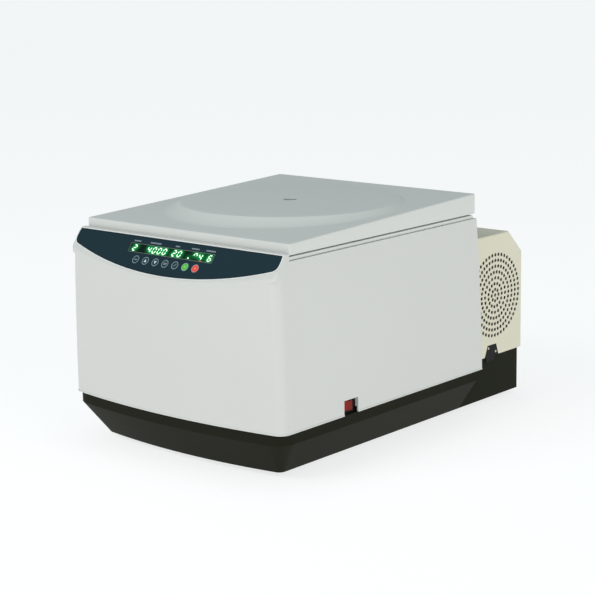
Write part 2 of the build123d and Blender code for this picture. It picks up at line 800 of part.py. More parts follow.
coil_route = coil_path()
lead_end = Plane(origin=(COIL_RADIUS, COIL_LEAD_Y, COIL_BOTTOM), z_dir=(0, -1, 0))
coil = sweep(lead_end * Circle(COIL_TUBE_RADIUS), path=coil_route)
tube_volume = math.pi * COIL_TUBE_RADIUS**2 * coil_route.length
print("coil gap between turns", round(COIL_PITCH - 2 * COIL_TUBE_RADIUS, 2))
print("coil volume over section times length", coil.volume / tube_volume)
save("evaporator_coil", coil)

# Motor on rubber dampers, hung from a plate below the chamber

PLATE_BOTTOM = 60.0
PLATE_TOP = 66.0
FLANGE_BOTTOM = 96.0
FLANGE_THICKNESS = 8.0
MOTOR_BOTTOM = 36.0
MOTOR_TOP = 168.0
NECK_RADIUS = 30.0
NECK_TOP = 180.0
PLATE_HALF_WIDTH = 150.0
LEG_SPREAD = 130.0
LEG_RADIUS = 9.0
motor_plate = block(
    -PLATE_HALF_WIDTH,
    PLATE_HALF_WIDTH,
    CHAMBER_Y - PLATE_HALF_WIDTH,
    CHAMBER_Y + PLATE_HALF_WIDTH,
    PLATE_BOTTOM,
    PLATE_TOP,
)
motor_plate -= upright(0, CHAMBER_Y, MOTOR_RADIUS + 9, 0, 100)
for leg_x in (-LEG_SPREAD, LEG_SPREAD):
    for leg_y in (CHAMBER_Y - LEG_SPREAD, CHAMBER_Y + LEG_SPREAD):
        motor_plate += upright(leg_x, leg_y, LEG_RADIUS, CHASSIS_TOP, PLATE_BOTTOM)
save("motor_plate", motor_plate)

DAMPER_ANGLES = [90, 210, 330]
DAMPER_SPREAD = 104.0
DAMPER_RADIUS = 17.0
WAIST_RING_RADIUS = 21.0
WAIST_DEPTH = 7.0
dampers = []
for angle in DAMPER_ANGLES:
    damper_x = DAMPER_SPREAD * math.cos(math.radians(angle))
    damper_y = CHAMBER_Y + DAMPER_SPREAD * math.sin(math.radians(angle))
    damper_middle = (PLATE_TOP + FLANGE_BOTTOM) / 2
    damper = upright(damper_x, damper_y, DAMPER_RADIUS, PLATE_TOP, FLANGE_BOTTOM)
    damper -= Pos(damper_x, damper_y, damper_middle) * Torus(WAIST_RING_RADIUS, WAIST_DEPTH)
    dampers.append(damper)

MOTOR_WALL = 6.0
MOTOR_FLANGE_RADIUS = 124.0
BEARING_TOP_RADIUS = 26.0
BEARING_TOP_LOW_Z = 160.0
BEARING_TOP_HIGH_Z = 175.0
BEARING_LOW_RADIUS = 22.0
BEARING_LOW_LOW_Z = 38.0
BEARING_LOW_HIGH_Z = 46.0
STATOR_ROOM_TOP = 158.0
NECK_BORE_RADIUS = 16.0
housing = upright(0, CHAMBER_Y, MOTOR_RADIUS, MOTOR_BOTTOM, MOTOR_TOP)
housing = fillet(housing.edges().filter_by(GeomType.CIRCLE), 5.0)
housing += upright(0, CHAMBER_Y, MOTOR_FLANGE_RADIUS, FLANGE_BOTTOM, FLANGE_BOTTOM + FLANGE_THICKNESS)
housing += upright(0, CHAMBER_Y, NECK_RADIUS, MOTOR_TOP - 1, NECK_TOP)
housing -= upright(0, CHAMBER_Y, MOTOR_RADIUS - MOTOR_WALL, BEARING_LOW_HIGH_Z, STATOR_ROOM_TOP)
housing -= upright(0, CHAMBER_Y, BEARING_TOP_RADIUS, STATOR_ROOM_TOP - 1, BEARING_TOP_HIGH_Z)
housing -= upright(0, CHAMBER_Y, NECK_BORE_RADIUS, BEARING_TOP_HIGH_Z - 1, NECK_TOP + 1)
housing -= upright(0, CHAMBER_Y, BEARING_LOW_RADIUS, BEARING_LOW_LOW_Z, BEARING_LOW_HIGH_Z + 1)
save("motor_housing", housing)

bearing_bore = SHAFT_RADIUS + RUNNING_GAP
bearings = [
    ring(0, CHAMBER_Y, bearing_bore, BEARING_TOP_RADIUS, BEARING_TOP_LOW_Z, BEARING_TOP_HIGH_Z),
    ring(0, CHAMBER_Y, bearing_bore, BEARING_LOW_RADIUS, BEARING_LOW_LOW_Z, BEARING_LOW_HIGH_Z),
]
save("motor_bearings", group(bearings))

HUB_BOTTOM = 262.0
HUB_TOP = 294.0
SHAFT_END_Z = 39.0
CORE_RADIUS = 41.0
CORE_BOTTOM = 68.0
CORE_TOP = 138.0
STUD_RADIUS = 6.0
STUD_LENGTH = 14.0
shaft = upright(0, CHAMBER_Y, SHAFT_RADIUS, SHAFT_END_Z, HUB_BOTTOM)
shaft += upright(0, CHAMBER_Y, CORE_RADIUS, CORE_BOTTOM, CORE_TOP)
shaft += upright(0, CHAMBER_Y, HUB_BORE_RADIUS - 0.02, HUB_BOTTOM, HUB_TOP)
shaft += upright(0, CHAMBER_Y, STUD_RADIUS, HUB_TOP, HUB_TOP + STUD_LENGTH)
save("motor_shaft", shaft)

BOOT_RADIUS = 44.0
boot_bore = NECK_RADIUS + 0.1
boot = ring(0, CHAMBER_Y, boot_bore, BOOT_RADIUS, MOTOR_TOP, BOWL_FLOOR - BOWL_WALL)
boot += ring(0, CHAMBER_Y, boot_bore, BOWL_HOLE_RADIUS - 0.1, BOWL_FLOOR - BOWL_WALL, NECK_TOP + 2)
save("shaft_boot", boot)

# Rotor head: two crossing pairs of arms that carry the trunnion pins

ARM_HALF_LENGTH = 104.0
ARM_BOTTOM = 266.0
ARM_TOP = 294.0
PIN_TIP = 30.0
HUB_RADIUS = 30.0
WEB_HALF_WIDTH = 40.0
WEB_THICKNESS = 10.0
arm_outer = ROTOR_ARM_INNER + ROTOR_ARM_THICKNESS
rotor = upright(0, 0, HUB_RADIUS, HUB_BOTTOM, HUB_TOP)
rotor += block(
    -WEB_HALF_WIDTH, WEB_HALF_WIDTH, -WEB_HALF_WIDTH, WEB_HALF_WIDTH, ARM_BOTTOM, ARM_BOTTOM + WEB_THICKNESS
)
for side in (-1, 1):
    arm_low = min(side * ROTOR_ARM_INNER, side * arm_outer)
    arm_high = max(side * ROTOR_ARM_INNER, side * arm_outer)
    rotor += block(arm_low, arm_high, -ARM_HALF_LENGTH, ARM_HALF_LENGTH, ARM_BOTTOM, ARM_TOP)
    rotor += block(-ARM_HALF_LENGTH, ARM_HALF_LENGTH, arm_low, arm_high, ARM_BOTTOM, ARM_TOP)
arm_tips = rotor.edges().filter_by(Axis.Z).filter_by(
    lambda edge: max(abs(edge.center().X), abs(edge.center().Y)) > ARM_HALF_LENGTH - 1
)
rotor = fillet(arm_tips, 3.0)
for side in (-1, 1):
    for end in (-1, 1):
        pin_low = min(side * PIN_TIP, side * (ROTOR_ARM_INNER + 1))
        pin_high = max(side * PIN_TIP, side * (ROTOR_ARM_INNER + 1))
        pivot = end * ROTOR_PIVOT_RADIUS
        rotor += crosswise(pivot, ROTOR_PIVOT_Z, ROTOR_PIN_RADIUS, pin_low, pin_high)
        rotor += along_y(pivot, ROTOR_PIVOT_Z, ROTOR_PIN_RADIUS, pin_low, pin_high)
rotor -= upright(0, 0, HUB_BORE_RADIUS, HUB_BOTTOM - 1, HUB_TOP + 1)
save("rotor_head", Pos(0, CHAMBER_Y, 0) * rotor)

NUT_RADIUS = 15.0
NUT_HEIGHT = 12.0
NUT_COLLAR_RADIUS = 18.0
NUT_COLLAR_HEIGHT = 4.0
nut = extrude(RegularPolygon(NUT_RADIUS, 6), NUT_HEIGHT)
nut += upright(0, 0, NUT_COLLAR_RADIUS, 0, NUT_COLLAR_HEIGHT)
nut -= upright(0, 0, STUD_RADIUS + 0.02, -1, NUT_HEIGHT + 1)
save("rotor_nut", Pos(0, CHAMBER_Y, HUB_TOP) * nut)


def bucket(angle):
    """Swinging bucket: thick collar with two slots that hang on the pins."""
    bottom = ROTOR_PIVOT_Z - BUCKET_LENGTH_BELOW
    top = ROTOR_PIVOT_Z + BUCKET_LENGTH_ABOVE
    collar_bottom = ROTOR_PIVOT_Z - 14
    body = upright(0, 0, BUCKET_RADIUS, bottom, top)
    body = fillet(body.edges().sort_by(Axis.Z)[0], 7.0)
    body += upright(0, 0, BUCKET_COLLAR_RADIUS, collar_bottom, top)
    body = chamfer(body.edges().sort_by(Axis.Z)[-1], 1.0)
    body -= upright(0, 0, BUCKET_BORE_RADIUS, bottom + 6, top + 1)
    slot_half = ROTOR_PIN_RADIUS + RUNNING_GAP
    for side in (-1, 1):
        slot_low = min(side * (PIN_TIP - 0.4), side * 40)
        slot_high = max(side * (PIN_TIP - 0.4), side * 40)
        body -= crosswise(0, ROTOR_PIVOT_Z, slot_half, slot_low, slot_high)
        body -= block(slot_low, slot_high, -slot_half, slot_half, collar_bottom - 1, ROTOR_PIVOT_Z)
    hung = Pos(0, CHAMBER_Y, 0) * Rot(0, 0, angle) * Pos(0, ROTOR_PIVOT_RADIUS, 0)
    return hung * body


for number in range(4):
    save(f"bucket_{number + 1}", bucket(90 * number))

# Lid


def lid_block(inset, rear_inset):
    """Wedge of the lid, with all walls moved in by an inset."""
    front = LID_FRONT_Y + inset
    rear = LID_REAR_Y - rear_inset
    rise = (OVERALL_HEIGHT - LID_FRONT_TOP) / (LID_REAR_Y - LID_FRONT_Y)
    front_top = LID_FRONT_TOP + rise * inset - inset
    rear_top = LID_FRONT_TOP + rise * (rear - LID_FRONT_Y) - inset
    profile = polygon(
        [(0, front, LID_BOTTOM), (0, rear, LID_BOTTOM), (0, rear, rear_top), (0, front, front_top)]
    )
    return extrude(profile, LID_HALF_WIDTH - inset, both=True)


lid = lid_block(0, 0)
lid = fillet(lid.edges().filter_by(Axis.Z), LID_CORNER_RADIUS)
top_edges = lid.edges().filter_by(lambda edge: edge.center().Z > LID_FRONT_TOP - 1)
lid = fillet(top_edges, 2.0)
disc = Cone(DISC_RADIUS + DISC_RAMP_RUN, DISC_RADIUS, DISC_RAMP_HEIGHT)
disc = Pos(0, CHAMBER_Y, OVERALL_HEIGHT - DISC_RAMP_HEIGHT / 2) * disc
disc_limit = LID_HALF_WIDTH - 2.5
lid += disc & block(-disc_limit, disc_limit, -400, 400, 0, 430)

lid_hollow = lid_block(LID_WALL, LID_WALL)
disc_hollow = upright(0, CHAMBER_Y, DISC_RADIUS - 5, LID_BOTTOM, OVERALL_HEIGHT - LID_WALL)
lid -= lid_hollow + disc_hollow
lens_bottom = OVERALL_HEIGHT - VIEWPORT_RECESS - 2.4
lid += upright(0, CHAMBER_Y, VIEWPORT_RADIUS + 5, lens_bottom - 3, OVERALL_HEIGHT - LID_WALL)
lid -= upright(0, CHAMBER_Y, VIEWPORT_RADIUS, lens_bottom, 430)
lid -= upright(0, CHAMBER_Y, VIEWPORT_LEDGE_RADIUS, 380, 430)
notch_inner = HINGE_X - HINGE_NOTCH_INNER
notch_outer = HINGE_X + HINGE_ROOM_OUTER
notch_top = HINGE_Z + HINGE_NOTCH_HEIGHT
lid -= block(notch_inner, notch_outer, HINGE_Y - 4, 200, LID_BOTTOM - 1, notch_top)
lid -= block(-notch_outer, -notch_inner, HINGE_Y - 4, 200, LID_BOTTOM - 1, notch_top)
save("lid_cover", lid)

lens = upright(0, CHAMBER_Y, VIEWPORT_RADIUS - 0.1, lens_bottom, OVERALL_HEIGHT - VIEWPORT_RECESS)
save("viewport_window", lens)

liner_half = LID_HALF_WIDTH - LID_WALL - 0.3
liner_top = LINER_BOTTOM + LINER_THICKNESS
liner = block(-liner_half, liner_half, LID_FRONT_Y + LID_WALL + 0.3, LINER_REAR_Y, LINER_BOTTOM, liner_top)
liner -= upright(0, CHAMBER_Y, VIEWPORT_LEDGE_RADIUS + 4, 380, 400)
save("lid_liner", liner)

ARM_HALF_WIDTH = 7.0
arm_blocks = []
arm_room = []
pins = []
brackets = []
cartridges = []
for side in (-1, 1):
    hinge_x = side * HINGE_X
    arm = block(hinge_x - ARM_HALF_WIDTH, hinge_x + ARM_HALF_WIDTH, 128, HINGE_Y, liner_top, liner_top + 4)
    knuckle = crosswise(HINGE_Y, HINGE_Z, KNUCKLE_RADIUS, hinge_x - ARM_HALF_WIDTH, hinge_x + ARM_HALF_WIDTH)
    arm += knuckle
    arm -= crosswise(HINGE_Y, HINGE_Z, HINGE_PIN_RADIUS + RUNNING_GAP, hinge_x - 20, hinge_x + 20)
    arm_blocks.append(arm)
    arm_room.append(block(hinge_x - 10, hinge_x + 10, 126, 200, 380, liner_top + 5))
    pins.append(crosswise(HINGE_Y, HINGE_Z, HINGE_PIN_RADIUS, hinge_x - 13, hinge_x + 13))
    bracket = block(
        hinge_x - 22, hinge_x + 22, HINGE_ROOM_FRONT_Y + 2, 190, CASING_SIDE_TOP, CASING_SIDE_TOP + 3
    )
    for ear_side in (-1, 1):
        ear_x = hinge_x + ear_side * (ARM_HALF_WIDTH + 2.5)
        ear = crosswise(HINGE_Y, HINGE_Z, KNUCKLE_RADIUS, ear_x - 2, ear_x + 2)
        ear += block(ear_x - 2, ear_x + 2, HINGE_Y - 5, HINGE_Y + 1.2, CASING_SIDE_TOP + 1, HINGE_Z)
        bracket += ear
    bracket -= crosswise(HINGE_Y, HINGE_Z, HINGE_PIN_RADIUS, hinge_x - 30, hinge_x + 30)
    brackets.append(bracket)
    cartridge_start = hinge_x + side * 13.2
    cartridge_end = hinge_x + side * 48
    cartridges.append(
        crosswise(
            HINGE_Y,
            HINGE_Z,
            KNUCKLE_RADIUS + 0.4,
            min(cartridge_start, cartridge_end),
            max(cartridge_start, cartridge_end),
        )
    )
save("hinge_arms", group(arm_blocks))
save("hinge_pins", group(pins))
save("hinge_brackets", group(brackets))
save("friction_cartridges", group(cartridges))

lid_foam = (lid_hollow + disc_hollow) & block(-300, 300, -400, 162, liner_top, 430)
lid_foam -= upright(0, CHAMBER_Y, VIEWPORT_RADIUS + 5, 300, 430)
for room in arm_room:
    lid_foam -= room
save("lid_insulation", lid_foam)

# Lid lock: striker on the lid, guide block under the deck, bolt and gear motor

BOLT_Z = 351.0
BOLT_HALF_WIDTH = 5.5
BOLT_HALF_HEIGHT = 4.0
BOLT_LOW_Y = -324.0
BOLT_HIGH_Y = -298.0
STRIKER_Y = -290.0
STRIKER_BOTTOM = 340.0
STRIKER_HALF_WIDTH = 12.0
STRIKER_HALF_THICKNESS = 2.0
STRIKER_WINDOW_HALF_WIDTH = 7.0
STRIKER_WINDOW_HALF_HEIGHT = 6.0
striker = block(
    -STRIKER_HALF_WIDTH,
    STRIKER_HALF_WIDTH,
    STRIKER_Y - STRIKER_HALF_THICKNESS,
    STRIKER_Y + STRIKER_HALF_THICKNESS,
    STRIKER_BOTTOM,
    LINER_BOTTOM,
)
striker += block(-14, 14, STRIKER_Y - 6, STRIKER_Y + 6, LINER_BOTTOM - 2, LINER_BOTTOM)
striker -= block(
    -STRIKER_WINDOW_HALF_WIDTH,
    STRIKER_WINDOW_HALF_WIDTH,
    STRIKER_Y - 5,
    STRIKER_Y + 5,
    BOLT_Z - STRIKER_WINDOW_HALF_HEIGHT,
    BOLT_Z + STRIKER_WINDOW_HALF_HEIGHT,
)
save("lid_striker", striker)

GUIDE_HALF_WIDTH = 20.0
GUIDE_LOW_Y = -318.0
GUIDE_HIGH_Y = -300.0
BOLT_CLEARANCE = 0.2
GEARBOX_LENGTH = 12.0
GEARBOX_HALF_HEIGHT = 10.0
LOCK_MOTOR_RADIUS = 9.0
LOCK_MOTOR_END_X = 58.0
latch_frame = block(
    -GUIDE_HALF_WIDTH, GUIDE_HALF_WIDTH, GUIDE_LOW_Y, GUIDE_HIGH_Y, STRIKER_BOTTOM, CASING_SIDE_TOP
)
latch_frame -= block(
    -BOLT_HALF_WIDTH - BOLT_CLEARANCE,
    BOLT_HALF_WIDTH + BOLT_CLEARANCE,
    GUIDE_LOW_Y - 1,
    GUIDE_HIGH_Y + 1,
    BOLT_Z - BOLT_HALF_HEIGHT - BOLT_CLEARANCE,
    BOLT_Z + BOLT_HALF_HEIGHT + BOLT_CLEARANCE,
)
save("lock_frame", latch_frame)
bolt = block(
    -BOLT_HALF_WIDTH,
    BOLT_HALF_WIDTH,
    BOLT_LOW_Y,
    BOLT_HIGH_Y,
    BOLT_Z - BOLT_HALF_HEIGHT,
    BOLT_Z + BOLT_HALF_HEIGHT,
)
save("lock_bolt", bolt)
guide_middle_y = (GUIDE_LOW_Y + GUIDE_HIGH_Y) / 2
lock_motor = crosswise(guide_middle_y, BOLT_Z, LOCK_MOTOR_RADIUS, GUIDE_HALF_WIDTH, LOCK_MOTOR_END_X)
lock_motor += block(
    GUIDE_HALF_WIDTH,
    GUIDE_HALF_WIDTH + GEARBOX_LENGTH,
    GUIDE_LOW_Y,
    GUIDE_HIGH_Y,
    BOLT_Z - GEARBOX_HALF_HEIGHT,
    BOLT_Z + GEARBOX_HALF_HEIGHT,
)
save("lock_motor", lock_motor)

# Rear housing with a round vent in each side


def housing_block(inset, front_gap):
    """Rear housing's outline seen from the side, stretched across its width."""
    top = HOUSING_TOP - inset
    side_view = polygon(
        [
            (0, rear_face_y(BASE_REAR_TOP - CASING_BOTTOM) + front_gap, BASE_REAR_TOP),
            (0, REAR_Y - inset, BASE_REAR_TOP),
            (0, REAR_Y - inset, HOUSING_CHAMFER_Z - inset * 0.4),
            (0, HOUSING_CHAMFER_Y - inset * 0.4, top),
            (0, rear_face_y(top - CASING_BOTTOM) + front_gap, top),
        ]
    )
    return extrude(side_view, HOUSING_HALF_WIDTH - inset, both=True)


rear_housing = housing_block(0, 0.5)
outer_edges = rear_housing.edges().filter_by(
    lambda edge: edge.center().Y > CASING_REAR_Y + 5 and edge.center().Z > BASE_REAR_TOP + 5
)
rear_housing = fillet(outer_edges, 3.0)
rear_housing -= housing_block(HOUSING_WALL, -1)
vent_holes = []
for ring_index, hole_count in enumerate(VENT_RING_COUNTS):
    ring_radius = VENT_RADIUS * ring_index / (len(VENT_RING_COUNTS) - 1)
    for hole_index in range(hole_count):
        turn = 2 * math.pi * hole_index / hole_count
        hole_y = VENT_Y + ring_radius * math.cos(turn)
        hole_z = VENT_Z + ring_radius * math.sin(turn)
        vent_holes.append(crosswise(hole_y, hole_z, VENT_HOLE_RADIUS, -220, 220))
rear_housing -= vent_holes

# Trapezoid notch over each clamp
NOTCH = [(264.5, BASE_REAR_TOP - 1), (274, 113), (303, 113), (311, BASE_REAR_TOP - 1)]


def notch_prism(grow, x_low, x_high):
    """Trapezoid of the notch, across a stretch of X."""
    (y1, z1), (y2, z2), (y3, z3), (y4, z4) = NOTCH
    points = [
        (x_low, y1 + grow, z1 + grow),
        (x_low, y2 + grow, z2 - grow),
        (x_low, y3 - grow, z3 - grow),
        (x_low, y4 - grow, z4 + grow),
    ]
    return extrude(polygon(points), x_high - x_low, dir=(1, 0, 0))


rear_housing -= notch_prism(0, -220, 220)
SLOT_COUNT = 9
SLOT_BOTTOM = 130.0
SLOT_PITCH = 15.0
SLOT_HEIGHT = 5.0
SLOT_INNER_X = 20.0
SLOT_OUTER_X = 110.0
for slot_index in range(SLOT_COUNT):
    slot_z = SLOT_BOTTOM + slot_index * SLOT_PITCH
    slot_top = slot_z + SLOT_HEIGHT
    rear_housing -= block(-SLOT_OUTER_X, -SLOT_INNER_X, REAR_Y - 10, REAR_Y + 10, slot_z, slot_top)
    rear_housing -= block(SLOT_INNER_X, SLOT_OUTER_X, REAR_Y - 10, REAR_Y + 10, slot_z, slot_top)
save("rear_housing", rear_housing)

CLAMP_INNER_X = 206.0
CLAMP_FACE_X = HOUSING_HALF_WIDTH + 0.2
CLAMP_TAB_LOW_Y = 268.5
CLAMP_TAB_HIGH_Y = 296.0
CLAMP_TAB_BOTTOM = 81.5
CLAMP_SCREWS = [(277.0, 107.5), (301.0, 98.0)]
SCREW_HEAD_RADIUS = 2.6
SCREW_HEAD_HEIGHT = 1.2
clamps = []
clamp_screws = []
for side in (-1, 1):
    x_inner = side * CLAMP_INNER_X
    x_outer = side * CLAMP_FACE_X
    low = min(x_inner, x_outer)
    high = max(x_inner, x_outer)
    clamp = notch_prism(0.4, low, high) & block(-FAR, FAR, 0, FAR, BASE_REAR_TOP, FAR)
    tab_low = min(side * BASE_FOOT_HALF_WIDTH, x_outer)
    tab_high = max(side * BASE_FOOT_HALF_WIDTH, x_outer)
    clamp += block(tab_low, tab_high, CLAMP_TAB_LOW_Y, CLAMP_TAB_HIGH_Y, CLAMP_TAB_BOTTOM, BASE_REAR_TOP)
    clamps.append(clamp)
    for screw_y, screw_z in CLAMP_SCREWS:
        head_low = min(x_outer, x_outer + side * SCREW_HEAD_HEIGHT)
        head_high = max(x_outer, x_outer + side * SCREW_HEAD_HEIGHT)
        clamp_screws.append(crosswise(screw_y, screw_z, SCREW_HEAD_RADIUS, head_low, head_high))
save("housing_clamps", group(clamps))
save("clamp_screws", group(clamp_screws))

# Refrigeration: compressor, condenser, drier, pipes and fan

COMPRESSOR_X = -60.0
COMPRESSOR_Y = 290.0
COMPRESSOR_RADIUS = 62.0
COMPRESSOR_BOTTOM = 34.0
COMPRESSOR_TOP = 205.0
FEET_BOTTOM = 30.0
SEAM_LOW_Z = 118.0
SEAM_HIGH_Z = 122.0
SHELL_ROUNDING = 30.0
FEET_REACH_X = 80.0
FEET_REACH_Y = 55.0
MOUNT_REACH_X = 70.0
MOUNT_REACH_Y = 45.0
MOUNT_RADIUS = 9.0
compressor = upright(COMPRESSOR_X, COMPRESSOR_Y, COMPRESSOR_RADIUS, COMPRESSOR_BOTTOM, COMPRESSOR_TOP)
compressor = fillet(compressor.edges().filter_by(GeomType.CIRCLE), SHELL_ROUNDING)
compressor += ring(
    COMPRESSOR_X, COMPRESSOR_Y, COMPRESSOR_RADIUS - 2, COMPRESSOR_RADIUS + 3, SEAM_LOW_Z, SEAM_HIGH_Z
)
compressor += block(
    COMPRESSOR_X - FEET_REACH_X,
    COMPRESSOR_X + FEET_REACH_X,
    COMPRESSOR_Y - FEET_REACH_Y,
    COMPRESSOR_Y + FEET_REACH_Y,
    FEET_BOTTOM,
    COMPRESSOR_BOTTOM + 2,
)
terminal_x = COMPRESSOR_X + COMPRESSOR_RADIUS
compressor += block(terminal_x - 4, terminal_x + 24, COMPRESSOR_Y - 20, COMPRESSOR_Y + 20, 110, 160)
save("compressor", compressor)

mounts = []
for mount_x in (COMPRESSOR_X - MOUNT_REACH_X, COMPRESSOR_X + MOUNT_REACH_X):
    for mount_y in (COMPRESSOR_Y - MOUNT_REACH_Y, COMPRESSOR_Y + MOUNT_REACH_Y):
        mounts.append(upright(mount_x, mount_y, MOUNT_RADIUS, CHASSIS_TOP, FEET_BOTTOM))
save("rubber_mounts", group(dampers + mounts))

CONDENSER_FACE_X = -158.0
CONDENSER_BACK_X = -196.0
CONDENSER_LOW_Y = 218.0
CONDENSER_HIGH_Y = 364.0
CONDENSER_BOTTOM = 108.0
CONDENSER_TOP = 292.0
END_PLATE_THICKNESS = 3.0
condenser = block(
    CONDENSER_BACK_X, CONDENSER_FACE_X, CONDENSER_LOW_Y, CONDENSER_HIGH_Y, CONDENSER_BOTTOM, CONDENSER_TOP
)
for end_y in (CONDENSER_LOW_Y - END_PLATE_THICKNESS, CONDENSER_HIGH_Y):
    condenser += block(
        CONDENSER_BACK_X - 2,
        CONDENSER_FACE_X + 2,
        end_y,
        end_y + END_PLATE_THICKNESS,
        CONDENSER_BOTTOM - 4,
        CONDENSER_TOP + 4,
    )
save("condenser", condenser)

DRIER_Y = 358.0
DRIER_Z = 120.0
DRIER_RADIUS = 10.0
DRIER_LOW_X = 26.0
DRIER_HIGH_X = 104.0
DRIER_NECK = 6.0
DISCHARGE_Z = 262.0
SUCTION_Z = 180.0
CAPILLARY_X = 122.0
CROSSING_Y = 184.0
SUCTION_CROSSING_Y = 182.0
discharge_pipe = pipe(
    [
        (COMPRESSOR_X, COMPRESSOR_Y, COMPRESSOR_TOP),
        (COMPRESSOR_X, COMPRESSOR_Y, DISCHARGE_Z),
        (CONDENSER_FACE_X, COMPRESSOR_Y, DISCHARGE_Z),
    ],
    radius=3.5,
    bend=20,
)

drier = crosswise(DRIER_Y, DRIER_Z, DRIER_RADIUS, DRIER_LOW_X, DRIER_HIGH_X)
drier = fillet(drier.edges().filter_by(GeomType.CIRCLE), DRIER_RADIUS / 2)
drier += crosswise(DRIER_Y, DRIER_Z, 4, DRIER_LOW_X - DRIER_NECK, DRIER_HIGH_X + DRIER_NECK)
save("filter_drier", drier)
liquid_pipe = crosswise(DRIER_Y, DRIER_Z, 3, CONDENSER_FACE_X, DRIER_LOW_X - DRIER_NECK)

capillary = pipe(
    [
        (DRIER_HIGH_X + DRIER_NECK, DRIER_Y, DRIER_Z),
        (CAPILLARY_X, DRIER_Y, DRIER_Z),
        (CAPILLARY_X, DRIER_Y, COIL_BOTTOM),
        (CAPILLARY_X, CROSSING_Y, COIL_BOTTOM),
        (COIL_RADIUS, CROSSING_Y, COIL_BOTTOM),
        (COIL_RADIUS, COIL_LEAD_Y, COIL_BOTTOM),
    ],
    radius=2.0,
    bend=8,
)

suction_pipe = pipe(
    [
        (-COIL_RADIUS, COIL_LEAD_Y, coil_top),
        (-COIL_RADIUS, SUCTION_CROSSING_Y, coil_top),
        (COMPRESSOR_X, SUCTION_CROSSING_Y, coil_top),
        (COMPRESSOR_X, SUCTION_CROSSING_Y, SUCTION_Z),
        (COMPRESSOR_X, COMPRESSOR_Y - COMPRESSOR_RADIUS, SUCTION_Z),
    ],
    radius=4.0,
    bend=18,
)
save("copper_pipes", group([discharge_pipe, liquid_pipe, capillary, suction_pipe]))

FAN_INNER_RADIUS = 77.0
SHROUD_RADIUS = 80.0
SHROUD_LOW_X = 176.0
SHROUD_HIGH_X = 206.0
SPIDER_THICKNESS = 4.0
SPOKE_WIDTH = 8.0
SPIDER_HUB_RADIUS = 26.0
FAN_MOTOR_RADIUS = 24.0
FAN_MOTOR_LENGTH = 36.0
spider_middle_x = SHROUD_LOW_X + SPIDER_THICKNESS / 2
spoke_length = SHROUD_RADIUS - 4
shroud = crosswise(VENT_Y, VENT_Z, SHROUD_RADIUS, SHROUD_LOW_X, SHROUD_HIGH_X)
shroud -= crosswise(VENT_Y, VENT_Z, FAN_INNER_RADIUS, SHROUD_LOW_X - 1, SHROUD_HIGH_X + 1)
for angle in (0, 90, 180, 270):
    spoke = Pos(spider_middle_x, 0, 2 + spoke_length / 2) * Box(SPIDER_THICKNESS, SPOKE_WIDTH, spoke_length)
    shroud += Pos(0, VENT_Y, VENT_Z) * Rot(angle, 0, 0) * spoke
spider_hub = crosswise(VENT_Y, VENT_Z, SPIDER_HUB_RADIUS, SHROUD_LOW_X, SHROUD_LOW_X + SPIDER_THICKNESS)
shroud += spider_hub
shroud -= crosswise(VENT_Y, VENT_Z, 8, SHROUD_LOW_X - 1, SHROUD_LOW_X + SPIDER_THICKNESS + 1)
save("fan_shroud", shroud)
fan_motor = crosswise(VENT_Y, VENT_Z, FAN_MOTOR_RADIUS, SHROUD_LOW_X - FAN_MOTOR_LENGTH, SHROUD_LOW_X)
save("fan_motor", fan_motor)

FAN_BLADE_COUNT = 7
FAN_HUB_RADIUS = 22.0
FAN_HUB_LOW_X = 182.0
FAN_HUB_HIGH_X = 200.0
BLADE_SIZE = (2.0, 30.0, 52.0)
BLADE_MIDDLE_RADIUS = 47.0
BLADE_PITCH_ANGLE = 32.0
fan = crosswise(VENT_Y, VENT_Z, FAN_HUB_RADIUS, FAN_HUB_LOW_X, FAN_HUB_HIGH_X)
fan += crosswise(VENT_Y, VENT_Z, 4, SHROUD_LOW_X + 0.5, FAN_HUB_LOW_X)
for blade_index in range(FAN_BLADE_COUNT):
    blade_turn = 360 * blade_index / FAN_BLADE_COUNT
    blade_middle_x = (FAN_HUB_LOW_X + FAN_HUB_HIGH_X) / 2
    blade = Pos(blade_middle_x, 0, BLADE_MIDDLE_RADIUS) * Rot(0, 0, BLADE_PITCH_ANGLE) * Box(*BLADE_SIZE)
    fan += Pos(0, VENT_Y, VENT_Z) * Rot(blade_turn, 0, 0) * blade
save("fan_blades", fan)

# Electronics

CONTROL_FRONT_Y = -336.0
CONTROL_BOARD_THICKNESS = 2.0
COMPONENT_BLOCKS = [(-80, -30, 20, 200, 250), (10, 40, 14, 205, 245)]
CAPACITORS = [(70, 230, 10, 24), (70, 265, 8, 16)]
control_board = block(-100, 100, CONTROL_FRONT_Y, CONTROL_FRONT_Y + CONTROL_BOARD_THICKNESS, 190, 300)
for x_low, x_high, reach, z_low, z_high in COMPONENT_BLOCKS:
    control_board += block(x_low, x_high, CONTROL_FRONT_Y - reach, CONTROL_FRONT_Y, z_low, z_high)
for capacitor_x, capacitor_z, capacitor_radius, reach in CAPACITORS:
    control_board += along_y(
        capacitor_x, capacitor_z, capacitor_radius, CONTROL_FRONT_Y - reach, CONTROL_FRONT_Y
    )
save("control_board", control_board)

DRIVE_LOW_X = -180.0
DRIVE_HIGH_X = -60.0
DRIVE_LOW_Y = -306.0
DRIVE_HIGH_Y = -215.0
DRIVE_TOP = 100.0
FIN_COUNT = 10
FIN_PITCH = 12.0
FIN_THICKNESS = 4.0
FIN_HEIGHT = 16.0
drive = block(DRIVE_LOW_X, DRIVE_HIGH_X, DRIVE_LOW_Y, DRIVE_HIGH_Y, CHASSIS_TOP, DRIVE_TOP)
for fin_index in range(FIN_COUNT):
    fin_x = DRIVE_LOW_X + FIN_THICKNESS + fin_index * FIN_PITCH
    drive += block(fin_x, fin_x + FIN_THICKNESS, DRIVE_LOW_Y, DRIVE_HIGH_Y, DRIVE_TOP, DRIVE_TOP + FIN_HEIGHT)
save("motor_drive", drive)
